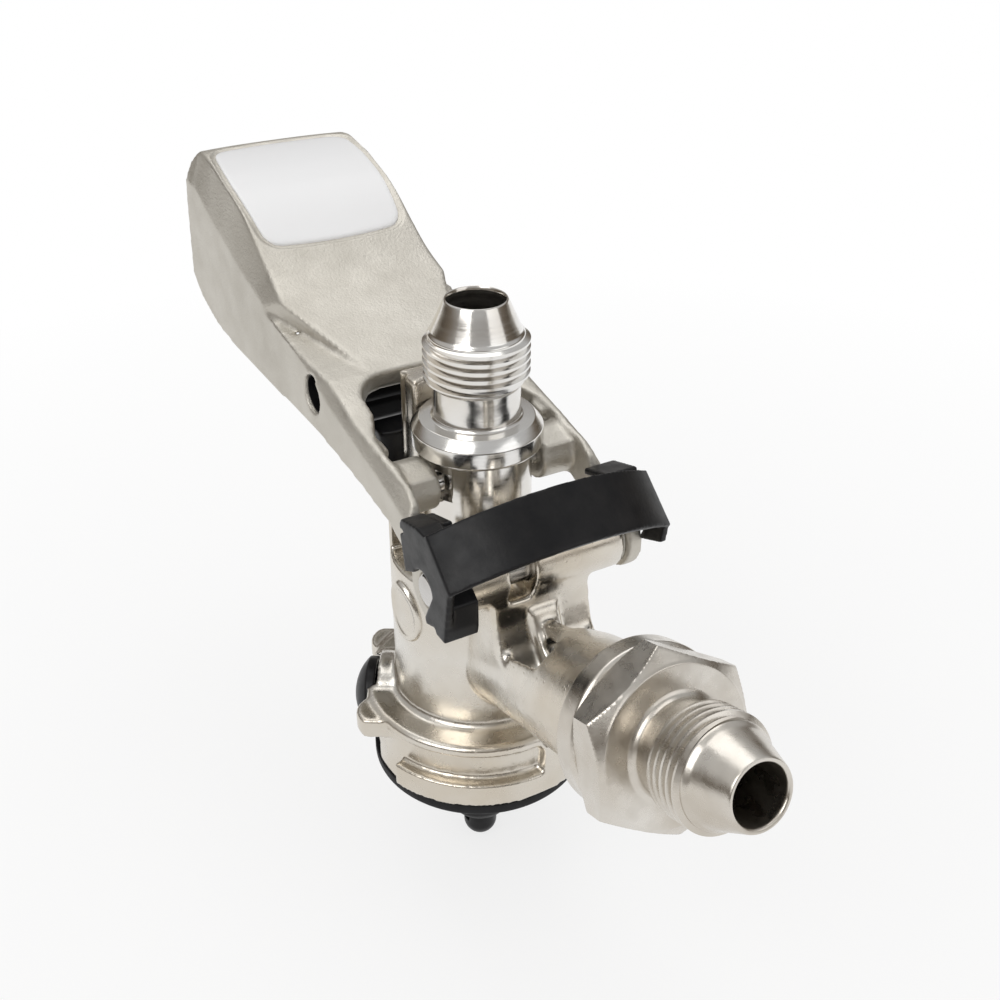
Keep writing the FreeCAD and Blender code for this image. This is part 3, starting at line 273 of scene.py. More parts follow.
@dataclass(frozen=True)
class TurnedMetal:
    """Machined metal: fine tool rings across the axis and a bright polish."""

    name: str
    pale: Colour
    deep: Colour
    roughness: float
    ring_depth: float
    ring_scale: float = 2600.0
    patch_scale: float = 46.0
    wave_scale: float = 90.0
    wave_depth: float = 0.00006

    def make(self) -> bpy.types.Material:
        """Builds the material.

        Returns:
            The material.
        """
        g = Surface(self.name)
        g.feed("Metallic", 1.0)
        drawn = g.node("ShaderNodeMapping", Vector=g.coords, Scale=(0.02, 0.02, 1.0)).outputs["Vector"]
        rings = g.node("ShaderNodeTexNoise", Vector=drawn, Scale=self.ring_scale, Detail=3.0).outputs["Fac"]
        g.feed("Base Color", g.ramp(g.noise(self.patch_scale), [(0.36, self.pale), (0.68, self.deep)]))
        g.feed("Roughness", g.span(rings, self.roughness * 0.7, self.roughness * 1.5))
        waves = g.bump(g.noise(self.wave_scale, 1.0), self.wave_depth, 0.5)
        g.feed("Normal", g.bump(rings, self.ring_depth, 0.6, waves))
        return g.material


@dataclass(frozen=True)
class Moulded:
    """Moulded plastic or rubber with a fine skin texture and slight wear."""

    name: str
    base: Colour
    worn: Colour
    roughness: float
    skin_depth: float
    skin_scale: float = 1800.0
    gloss_coat: float = 0.0
    shine: float = 0.24
    mottle: float = 1.0
    wear_scale: float = 120.0
    patch_scale: float = 300.0
    wave_scale: float = 70.0
    wave_depth: float = 0.00012

    def make(self) -> bpy.types.Material:
        """Builds the material.

        Returns:
            The material.
        """
        g = Surface(self.name)
        g.feed("Specular IOR Level", self.shine)
        g.feed("Coat Weight", self.gloss_coat)
        g.feed("Coat Roughness", 0.12)
        wear = g.noise(self.wear_scale, 5.0, 0.6)
        g.feed("Base Color", g.ramp(wear, [(0.40, self.base), (0.74, self.worn)]))
        g.feed("Roughness", g.span(g.noise(self.patch_scale, 4.0), self.roughness - 0.07 * self.mottle,
                                   self.roughness + 0.08 * self.mottle))
        waves = g.bump(g.noise(self.wave_scale, 1.0), self.wave_depth * self.mottle, 0.4)
        g.feed("Normal", g.bump(g.noise(self.skin_scale), self.skin_depth, 0.7, waves))
        return g.material


FINISHES = {
    Slot.CAST: CastMetal("plated_casting", (0.74, 0.715, 0.665), (0.60, 0.535, 0.44), 0.20, 0.33, 0.00003),
    Slot.STEEL: TurnedMetal("polished_probe_steel", (0.80, 0.79, 0.77), (0.70, 0.66, 0.60), 0.15, 0.000006),
    Slot.SATIN: CastMetal("satin_cast_lever", (0.66, 0.63, 0.57), (0.58, 0.55, 0.49), 0.42, 0.56, 0.00016,
                          grain_scale=1500.0, patch_scale=26.0, pit_depth=0.00003),
    Slot.INLET: CastMetal("satin_inlet_nickel", (0.72, 0.69, 0.64), (0.54, 0.49, 0.42), 0.22, 0.36, 0.00002,
                          grain_scale=1500.0, patch_scale=60.0, pit_depth=0.00001),
    Slot.PIN: TurnedMetal("ground_pin_steel", (0.66, 0.65, 0.63), (0.52, 0.50, 0.48), 0.2, 0.000004),
    Slot.RUBBER: Moulded("black_seal_rubber", (0.006, 0.006, 0.007), (0.013, 0.013, 0.014), 0.55, 0.00004),
    Slot.VALVE: Moulded("valve_rubber_skin", (0.02, 0.02, 0.022), (0.05, 0.05, 0.052), 0.6, 0.00003),
    # Black plastic for the clip, cap and cage, also used as painted shade on the throat, pillar and cord hole
    # blocks.
    Slot.PLASTIC: Moulded("black_plastic_and_painted_shade", (0.006, 0.006, 0.007), (0.016, 0.015, 0.015), 0.36, 0.00003),
    Slot.LABEL: Moulded("white_label_film", (0.87, 0.87, 0.875), (0.868, 0.868, 0.873), 0.3, 0.000001,
                        skin_scale=700.0, gloss_coat=0.2, shine=0.5, mottle=0.05),
    Slot.BEARING: Moulded("bearing_plastic_skin", (0.74, 0.72, 0.66), (0.66, 0.63, 0.57), 0.45, 0.00002),
}


def linked(name: str, data: bpy.types.ID) -> bpy.types.Object:
    """Puts a mesh, lamp or camera in the scene.

    Args:
        name: The object's name.
        data: What it shows.

    Returns:
        The new object.
    """
    obj = bpy.data.objects.new(name, data)
    bpy.context.scene.collection.objects.link(obj)
    return obj


def baked(obj: bpy.types.Object, *tools: bpy.types.Object) -> bpy.types.Mesh:
    """Gives a working object's mesh after its modifiers, and removes the object.

    Args:
        obj: The working object.
        tools: Objects that its modifiers use, which go too.

    Returns:
        The new mesh.
    """
    graph = bpy.context.evaluated_depsgraph_get()
    mesh = bpy.data.meshes.new_from_object(obj.evaluated_get(graph))
    for item in (obj, *tools):
        data = item.data
        bpy.data.objects.remove(item)
        bpy.data.meshes.remove(data)
    return mesh


class Workshop:
    """Makes each finish once and dresses pieces in it."""

    def __init__(self, nodes: dict[str, bpy.types.Object]) -> None:
        """Keeps the CAD nodes and builds every finish.

        Args:
            nodes: The CAD node objects by name.
        """
        self.nodes = nodes
        self.materials = {slot: finish.make() for slot, finish in FINISHES.items()}

    def dress_nodes(self, slot: Slot, *names: str) -> None:
        """Gives CAD nodes a finish and leaves their meshes as they are."""
        for name in names:
            node = self.nodes[name]
            if not node.data.materials:
                node.data.materials.append(self.materials[slot])
            for place in node.material_slots:
                place.material = self.materials[slot]

    def add(self, name: str, mesh: bpy.types.Mesh, slot: Slot, ride: Ride, *stands_for: str) -> None:
        """Adds a finished piece to the coupler.

        Args:
            name: The piece's name.
            mesh: Its mesh, in the coupler's frame.
            slot: Its finish.
            ride: The body that it moves with.
            stands_for: The CAD nodes that it replaces.
        """
        obj = linked(name, mesh)
        mesh.materials.clear()
        mesh.materials.append(self.materials[slot])
        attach(obj, ride.value)
        if stands_for:
            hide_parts(*stands_for)
        log.info("%s: %d faces, moves with %s", name, len(mesh.polygons), ride.value)


def smooth(mesh: bpy.types.Mesh, angle: float | None) -> bpy.types.Mesh:
    """Shades a mesh smooth, with sharp edges where faces meet at more than an angle.

    Args:
        mesh: The mesh.
        angle: The sharp angle in degrees, or none for smooth all over.

    Returns:
        The same mesh.
    """
    mesh.polygons.foreach_set("use_smooth", [True] * len(mesh.polygons))
    if angle is not None:
        mesh.set_sharp_from_angle(angle=math.radians(angle))
    mesh.update()
    return mesh


def skinned(name: str, rings: Sequence[Sequence[Vector]], joined: bool, matrix: Matrix = Matrix.Identity(4),
            angle: float = 32.0) -> bpy.types.Mesh:
    """Spans neighbouring rings of points with faces that look outward.

    Args:
        name: The mesh's name.
        rings: The rings in millimetres. A ring of one point is a tip.
        joined: Whether the last ring joins the first one. If not, a face closes it.
        matrix: A last move, in metres.
        angle: The sharp angle in degrees.

    Returns:
        The mesh, in metres.
    """
    bm = bmesh.new()
    loops = [[bm.verts.new(spot * MM) for spot in ring] for ring in rings]
    for here, after in zip(loops, loops[1:] + loops[:joined]):
        count = max(len(here), len(after))
        for index in range(count if count > 1 else 0):
            following = (index + 1) % count
            corners = (here[index % len(here)], here[following % len(here)], after[following % len(after)],
                       after[index % len(after)])
            bm.faces.new(tuple(dict.fromkeys(corners)))
    if joined:
        bmesh.ops.remove_doubles(bm, verts=bm.verts, dist=SEAM)
    else:
        bm.faces.new(loops[-1])
    bmesh.ops.recalc_face_normals(bm, faces=bm.faces)
    bm.transform(matrix)
    mesh = bpy.data.meshes.new(name)
    bm.to_mesh(mesh)
    bm.free()
    return smooth(mesh, angle)


def clamped(value: float) -> float:
    """Holds a value between 0 and 1."""
    return min(max(value, 0.0), 1.0)


def eased(profile: Sequence[Point], radius: float, steps: int = 3) -> list[Point]:
    """Rounds the corners of a closed profile.

    Args:
        profile: The corners, in millimetres.
        radius: How far along each side a corner's round starts.
        steps: Points on each round.

    Returns:
        The rounded profile.
    """
    result = []
    count = len(profile)
    for index, here in enumerate(profile):
        corner = Vector(here)
        before, after = Vector(profile[index - 1]), Vector(profile[(index + 1) % count])
        arms = [before - corner, after - corner]
        reach = min(radius, arms[0].length * 0.42, arms[1].length * 0.42)
        if arms[0].angle(arms[1]) > math.radians(NEARLY_STRAIGHT) or here[0] < TIP:
            result.append(here)
            continue
        start, finish = (corner + arm.normalized() * reach for arm in arms)
        for step in range(steps + 1):
            t = step / steps
            point = start * (1 - t) ** 2 + corner * 2 * t * (1 - t) + finish * t * t
            result.append((point.x, point.y))
    return result


@dataclass
class Turned:
    """A piece turned about an axis from a closed profile of radius and station, in millimetres."""

    profile: Sequence[Point]
    around: int = 144
    limit: Callable[[float, float], float] | None = None
    step: float = 2.5
    matrix: Matrix = field(default_factory=lambda: Matrix.Identity(4))

    def rows(self) -> list[Point]:
        """The profile with its long runs divided.

        Returns:
            The rows of the lathe grid.
        """
        rows: list[Point] = []
        count = len(self.profile)
        for index, here in enumerate(self.profile):
            after = self.profile[(index + 1) % count]
            pieces = max(1, math.ceil(math.dist(here, after) / self.step)) if self.limit else 1
            for part in range(pieces):
                t = part / pieces
                rows.append((here[0] + (after[0] - here[0]) * t, here[1] + (after[1] - here[1]) * t))
        return rows

    def mesh(self, name: str) -> bpy.types.Mesh:
        """Builds the closed mesh.

        Args:
            name: The mesh's name.

        Returns:
            The mesh, in metres.
        """
        rings = []
        for radius, station in self.rows():
            ring = []
            for index in range(self.around if radius >= TIP else 1):
                angle = math.tau * index / self.around
                reach = min(radius, self.limit(angle, station)) if self.limit else radius
                ring.append(Vector((reach * math.cos(angle), reach * math.sin(angle), station)))
            rings.append(ring)
        return skinned(name, rings, True, self.matrix)


@dataclass(frozen=True)
class Prism:
    """A straight block in millimetres: an outline in X and Z from one Y to another, or upright in X and Y."""

    outline: Sequence[Point]
    low: float
    high: float
    upright: bool = False

    def add_to(self, bm: bmesh.types.BMesh) -> None:
        """Adds the closed block to a mesh under construction."""
        ends = [[bm.verts.new(Vector((x, other, station) if self.upright else (x, station, other)) * MM)
                 for x, other in self.outline] for station in (self.low, self.high)]
        faces = [bm.faces.new(end) for end in ends]
        for index in range(len(self.outline)):
            following = (index + 1) % len(self.outline)
            side = (ends[0][index], ends[0][following], ends[1][following], ends[1][index])
            faces.append(bm.faces.new(side))
        bmesh.ops.recalc_face_normals(bm, faces=faces)

    def mesh(self, name: str) -> bpy.types.Mesh:
        """Builds the block alone.

        Args:
            name: The mesh's name.

        Returns:
            The mesh.
        """
        bm = bmesh.new()
        self.add_to(bm)
        mesh = bpy.data.meshes.new(name)
        bm.to_mesh(mesh)
        bm.free()
        return mesh


@dataclass
class Casting:
    """Turns a solid or a block into a cast or moulded piece, with soft, even corners all over."""

    voxel: float
    passes: int
    fills: Sequence[Prism] = ()
    cuts: Sequence[Prism] = ()

    def carved(self, name: str, source: bpy.types.Mesh | Prism) -> bpy.types.Mesh:
        """Cuts the recesses that the solid leaves plain, then sets the fills in.

        Args:
            name: The mesh's name.
            source: The solid's mesh, or a block.

        Returns:
            The mesh, with the fills as overlapping shells.
        """
        bm = bmesh.new()
        if isinstance(source, Prism):
            source.add_to(bm)
        else:
            bm.from_mesh(source)
        bmesh.ops.remove_doubles(bm, verts=bm.verts, dist=WELD)
        raw = bpy.data.meshes.new(f"{name}_raw")
        bm.to_mesh(raw)
        bm.free()
        work = linked(f"{name}_raw", raw)
        tools = []
        for index, cut in enumerate(self.cuts):
            tool = linked(f"{name}_cut_{index}", cut.mesh(f"{name}_cut_{index}"))
            modifier = work.modifiers.new(tool.name, "BOOLEAN")
            modifier.operation, modifier.solver, modifier.object = "DIFFERENCE", "EXACT", tool
            tools.append(tool)
        result = baked(work, *tools)
        bm = bmesh.new()
        bm.from_mesh(result)
        for fill in self.fills:
            fill.add_to(bm)
        bm.to_mesh(result)
        bm.free()
        return result

    def mesh(self, name: str, source: bpy.types.Mesh | Prism,
             shape: Callable[[Vector], Vector] | None = None) -> bpy.types.Mesh:
        """Builds the softened mesh.

        Args:
            name: The mesh's name.
            source: The solid's mesh, or a block that no solid stands behind.
            shape: A last move of each point, in millimetres.

        Returns:
            The mesh.
        """
        work = linked(f"{name}_skin", self.carved(name, source))
        remesh = work.modifiers.new("skin", "REMESH")
        remesh.mode = "VOXEL"
        remesh.voxel_size = self.voxel * MM
        soften = work.modifiers.new("soften", "SMOOTH")
        soften.factor = 0.5
        soften.iterations = self.passes
        mesh = baked(work)
        mesh.name = name
        if shape is not None:
            for vertex in mesh.vertices:
                vertex.co = shape(vertex.co / MM) * MM
        return smooth(mesh, None)


@dataclass(frozen=True)
class PipeThread:
    """The parallel pipe thread that both outlets share, in millimetres."""

    crest: float = 11.45
    root: float = 10.35
    pitch: float = 1.814
    margin: float = 0.9


class ThreadTree:
    """The Geometry Nodes tree that winds a pipe thread's ridge round a core."""

    NAME = "pipe_thread_ridge"
    INPUTS = (("Crest Radius", 0.01145), ("Depth", 0.00116), ("Pitch", 0.001814), ("Turns", 5.0))
    FOOT_SHARE = 0.84
    CREST_SHARE = 0.30
    STEPS_PER_TURN = 72
    RUN_OUT = 16.0

    def __init__(self) -> None:
        """Builds the tree once, with its sizes as named inputs."""
        self.tree = bpy.data.node_groups.new(self.NAME, "GeometryNodeTree")
        self.sockets: dict[str, str] = {}
        face = self.tree.interface
        face.new_socket("Geometry", in_out="INPUT", socket_type="NodeSocketGeometry")
        for name, value in self.INPUTS:
            item = face.new_socket(name, in_out="INPUT", socket_type="NodeSocketFloat")
            item.default_value = value
            self.sockets[name] = item.identifier
        item = face.new_socket("Finish", in_out="INPUT", socket_type="NodeSocketMaterial")
        self.sockets["Finish"] = item.identifier
        face.new_socket("Geometry", in_out="OUTPUT", socket_type="NodeSocketGeometry")
        self._wire()

    def _wire(self) -> None:
        """Lays out the ridge: a spiral, its tapering profile, and the finish."""
        g = Graph(self.tree)
        source = g.node("NodeGroupInput")
        crest, depth, pitch, turns = (source.outputs[name] for name, _ in self.INPUTS)
        middle = g.math("SUBTRACT", crest, g.math("MULTIPLY", depth, 0.5))
        spiral = g.node("GeometryNodeCurveSpiral", Resolution=self.STEPS_PER_TURN, Rotations=turns,
                        Start_Radius=middle, End_Radius=middle, Height=g.math("MULTIPLY", pitch, turns))
        upright = g.node("GeometryNodeSetCurveNormal", Curve=spiral.outputs["Curve"])
        upright.mode = "Z_UP"
        place = g.node("GeometryNodeSplineParameter").outputs["Factor"]
        edge = g.math("MINIMUM", place, g.math("SUBTRACT", 1.0, place))
        run_out = g.math("MINIMUM", g.math("MULTIPLY", edge, self.RUN_OUT), 1.0)
        taper = g.math("POWER", g.math("MAXIMUM", run_out, 0.02), 0.6)
        profile = g.node("GeometryNodeCurvePrimitiveQuadrilateral")
        profile.mode = "TRAPEZOID"
        g.fill(profile, {"Height": depth, "Offset": 0.0,
                         "Bottom Width": g.math("MULTIPLY", pitch, self.FOOT_SHARE),
                         "Top Width": g.math("MULTIPLY", pitch, self.CREST_SHARE)})
        turned = g.node("GeometryNodeTransform", Geometry=profile.outputs["Curve"],
                        Rotation=(0.0, 0.0, math.pi / 2))
        sweep = g.node("GeometryNodeCurveToMesh", Curve=upright.outputs["Curve"],
                       Profile_Curve=turned.outputs["Geometry"], Scale=taper, Fill_Caps=True)
        real = g.node("GeometryNodeRealizeInstances", Geometry=sweep.outputs["Mesh"])
        finish = g.node("GeometryNodeSetMaterial", Geometry=real.outputs["Geometry"],
                        Material=source.outputs["Finish"])
        g.node("NodeGroupOutput", Geometry=finish.outputs["Geometry"])

    def ridge(self, name: str, thread: PipeThread, length: float, finish: bpy.types.Material,
              matrix: Matrix) -> bpy.types.Mesh:
        """Winds one ridge as a plain mesh.

        Args:
            name: The mesh's name.
            thread: The thread's sizes.
            length: The threaded length in millimetres.
            finish: The ridge's material.
            matrix: Where the thread's first turn starts and how its axis lies.

        Returns:
            The mesh, in the coupler's frame.
        """
        holder = linked(f"{name}_holder", bpy.data.meshes.new(f"{name}_holder"))
        modifier = holder.modifiers.new("thread", "NODES")
        modifier.node_group = self.tree
        modifier[self.sockets["Crest Radius"]] = thread.crest * MM
        modifier[self.sockets["Pitch"]] = thread.pitch * MM
        modifier[self.sockets["Turns"]] = (length - thread.margin) / thread.pitch
        modifier[self.sockets["Finish"]] = finish
        mesh = baked(holder)
        mesh.name = name
        bm = bmesh.new()
        bm.from_mesh(mesh)
        bmesh.ops.recalc_face_normals(bm, faces=bm.faces)
        bm.transform(matrix)
        bm.to_mesh(mesh)
        bm.free()
        return smooth(mesh, 40.0)


@dataclass
class ProbeAssembly:
    """The sliding beer probe: its turned tube, outlet thread, nose seal, ball cage and ball."""

    thread: PipeThread = PipeThread()
    shank: float = 12.08
    stem: float = 9.0
    collar: float = 14.5
    neck: float = 9.5
    thread_start: float = 102.9
    thread_end: float = 113.4
    rim: float = 120.9
    flat: float = 9.9
    slot_z: float = 81.5
    slot_height: float = 6.7

    def tube(self) -> bpy.types.Mesh:
        """Turns the probe with its collar, neck, cone, bore and side slots.

        Returns:
            The mesh.
        """
        outer = [
            (5.2, -20.0), (6.5, -20.0), (6.5, -12.0), (self.stem, -12.0), (self.stem, 43.0),
            (self.shank, 46.0), (self.shank, 87.7), (14.0, 87.7), (self.collar, 88.3), (self.collar, 92.0),
            (12.6, 94.2), (10.0, 94.2), (self.neck, 94.8), (self.neck, self.thread_start - 1.0),
            (self.thread.root, self.thread_start), (self.thread.root, self.thread_end),
            (9.75, self.thread_end + 0.6), (6.75, self.rim - 0.2), (6.5, self.rim), (6.35, self.rim - 0.1),
            (6.1, self.rim - 0.7), (6.1, 87.7), (4.0, 84.0), (4.0, 3.4), (5.2, 1.8),
        ]
        low, high = self.slot_z - self.slot_height / 2, self.slot_z + self.slot_height / 2

        def slots(angle: float, station: float) -> float:
            across = abs(math.sin(angle))
            return self.flat / across if low < station < high and across > 0.1 else OPEN

        gap = 0.02
        cut = [(self.shank, end + side) for end in (low, high) for side in (-gap, gap)]
        index = outer.index((self.shank, 46.0)) + 1
        profile = eased(outer[:index] + cut + outer[index:], 0.22)
        return Turned(profile, 256, slots).mesh("probe_tube")

    def build(self, shop: Workshop, threads: ThreadTree) -> None:
        """Adds the probe's pieces.

        Args:
            shop: The workshop.
            threads: The thread tree.
        """
        shop.add("probe_tube", self.tube(), Slot.STEEL, Ride.PROBE, "probe")
        start = Matrix.Translation((0, 0, (self.thread_start + 0.3) * MM))
        ridge = threads.ridge("outlet_thread", self.thread, self.thread_end - self.thread_start,
                              shop.materials[Slot.STEEL], start)
        shop.add("outlet_thread", ridge, Slot.STEEL, Ride.PROBE)
        nose = [(6.5, -20.0), (7.2, -20.0), (8.9, -17.6), (9.3, -15.8), (8.5, -14.4), (8.5, -12.0),
                (6.5, -12.0)]
        seal = Turned(eased(nose, 0.5), 96).mesh("nose_seal_ring")
        shop.add("nose_seal_ring", seal, Slot.RUBBER, Ride.PROBE, "probe_nose_seal")
        cage = Casting(0.22, 4).mesh("ball_cage_plug", shop.nodes["ball_cage"].data)
        shop.add("ball_cage_plug", cage, Slot.PLASTIC, Ride.PROBE, "ball_cage")
        shop.dress_nodes(Slot.STEEL, "check_ball")


@dataclass
class GasInlet:
    """The screwed-in gas adaptor with its washer, on the tilted arm."""

    thread: PipeThread = PipeThread()
    tilt: float = 17.4
    axis_height: float = 35.3
    face: float = 67.4
    flats: float = 34.0
    hex_start: float = 71.4
    hex_end: float = 80.2
    thread_start: float = 86.2
    thread_end: float = 95.4

    def matrix(self) -> Matrix:
        """The move from an upright axis to the arm's axis.

        Returns:
            The matrix, in metres.
        """
        lift = Matrix.Translation((0, 0, self.axis_height * MM))
        return lift @ Matrix.Rotation(math.radians(90.0 - self.tilt), 4, "Y")

    def adaptor(self) -> bpy.types.Mesh:
        """Turns the adaptor and mills its six flats.

        Returns:
            The mesh.
        """
        corner = self.flats / 2 / math.cos(math.radians(30))
        profile = [
            (5.87, self.face - 10.0), (9.2, self.face - 10.0), (9.2, self.face), (17.15, self.face),
            (17.15, self.face - 1.5), (17.4, self.face - 1.5), (17.66, self.face - 1.2),
            (17.66, self.hex_start - 0.5), (17.1, self.hex_start), (16.9, self.hex_start + 0.1),
            (corner, self.hex_start + 1.7), (corner, self.hex_end - 2.6), (16.4, self.hex_end - 0.3),
            (16.1, self.hex_end), (11.2, self.hex_end), (10.4, self.hex_end + 0.4), (9.9, self.hex_end + 1.2),
            (9.9, self.thread_start - 1.2), (self.thread.root, self.thread_start),
            (self.thread.root, self.thread_end - 0.2), (9.6, self.thread_end + 0.8),
            (7.0, self.thread_end + 8.3), (6.8, self.thread_end + 8.6), (6.1, self.thread_end + 8.5),
            (5.87, self.thread_end + 8.0),
        ]

        def hexagon(angle: float, station: float) -> float:
            if not self.hex_start - 0.05 < station < self.hex_end + 0.05:
                return OPEN
            turn = math.radians(60)
            offset = angle % turn - turn / 2
            return self.flats / 2 / math.cos(offset)

        blank = Turned(eased(profile, 0.3), 360, hexagon, step=0.4, matrix=self.matrix())
        return blank.mesh("inlet_adaptor")

    def build(self, shop: Workshop, threads: ThreadTree) -> None:
        """Adds the inlet's pieces.

        Args:
            shop: The workshop.
            threads: The thread tree.
        """
        shop.add("inlet_adaptor", self.adaptor(), Slot.INLET, Ride.BODY, "gas_adaptor")
        start = self.matrix() @ Matrix.Translation((0, 0, (self.thread_start + 0.2) * MM))
        ridge = threads.ridge("inlet_thread", self.thread, self.thread_end - self.thread_start,
                              shop.materials[Slot.INLET], start)
        shop.add("inlet_thread", ridge, Slot.INLET, Ride.BODY)
        washer = [(9.6, 65.6), (16.8, 65.6), (17.05, 66.0), (17.05, 67.0), (16.8, 67.4), (9.6, 67.4)]
        mesh = Turned(eased(washer, 0.3), matrix=self.matrix()).mesh("inlet_washer")
        shop.add("inlet_washer", mesh, Slot.RUBBER, Ride.BODY, "gas_joint_washer")
        shop.dress_nodes(Slot.VALVE, "gas_check_valve")
        shop.dress_nodes(Slot.BEARING, "gas_valve_sleeve")


@dataclass
class BodyCasting:
    """The plated body casting with the bare raised oval on its side, its base seal and its relief valve."""

    radius: float = 20.3
    oval_angle: float = -84.0
    oval_height: float = 50.0
    oval_half_width: float = 5.4
    oval_half_height: float = 7.4
    oval_lean: float = 14.0
    seal_radius: float = 26.4

    def oval(self) -> bpy.types.Mesh:
        """Wraps a low oval pad with a raised rim round the body.

        Returns:
            The mesh.
        """
        rises = [(0.0, 0.45), (0.55, 0.45), (0.74, 0.42), (0.80, 0.75), (0.86, 0.95), (0.93, 0.95),
                 (0.99, 0.6), (1.04, -0.3)]
        around = 72
        lean = Matrix.Rotation(math.radians(self.oval_lean), 2)
        rings = []
        for reach, rise in rises:
            ring = []
            for index in range(around if reach else 1):
                angle = math.tau * index / around
                across, up = lean @ Vector((self.oval_half_width * reach * math.cos(angle),
                                            self.oval_half_height * reach * math.sin(angle)))
                turn = math.radians(self.oval_angle) + across / self.radius
                depth = self.radius + rise
                ring.append(Vector((depth * math.cos(turn), depth * math.sin(turn), self.oval_height + up)))
            rings.append(ring)
        return skinned("side_oval", rings, False, angle=60.0)

    def build(self, shop: Workshop) -> None:
        """Adds the body's pieces.

        Args:
            shop: The workshop.
        """
        tower = [(20.0, 46.0), (35.6, 48.6), (33.2, 51.0), (30.6, 54.6), (28.8, 59.0), (28.2, 63.2),
                 (20.0, 63.2)]
        saddle = [(24.0, 44.0), (44.0, 50.4), (38.6, 51.6), (34.4, 53.8), (31.4, 57.2), (29.6, 61.0),
                  (24.0, 61.0)]
        fills = [Prism(tower, -11.6, 11.6), Prism(saddle, -3.4, 3.4)]
        cast = Casting(0.6, 6, fills).mesh("body_casting", shop.nodes["housing"].data)
        shop.add("body_casting", cast, Slot.CAST, Ride.BODY, "housing")
        shop.add("side_oval", self.oval(), Slot.CAST, Ride.BODY)
        seal = [
            (13.2, 0.8), (14.4, 0.0), (25.2, 0.0), (self.seal_radius, 1.2), (self.seal_radius, 3.7),
            (18.6, 3.7), (18.6, 6.7), (16.2, 6.7), (15.4, 3.7), (13.2, 2.9),
        ]
        mesh = Turned(eased(seal, 0.5), 160).mesh("base_seal_ring")
        shop.add("base_seal_ring", mesh, Slot.RUBBER, Ride.BODY, "base_seal")
        cap = Casting(0.24, 4).mesh("relief_cap_dome", shop.nodes["relief_cap"].data)
        shop.add("relief_cap_dome", cap, Slot.PLASTIC, Ride.RELIEF, "relief_cap")
        shop.dress_nodes(Slot.VALVE, "probe_seal_ring", "probe_wiper_ring", "relief_poppet")
        shop.dress_nodes(Slot.BEARING, "hinge_bushes")


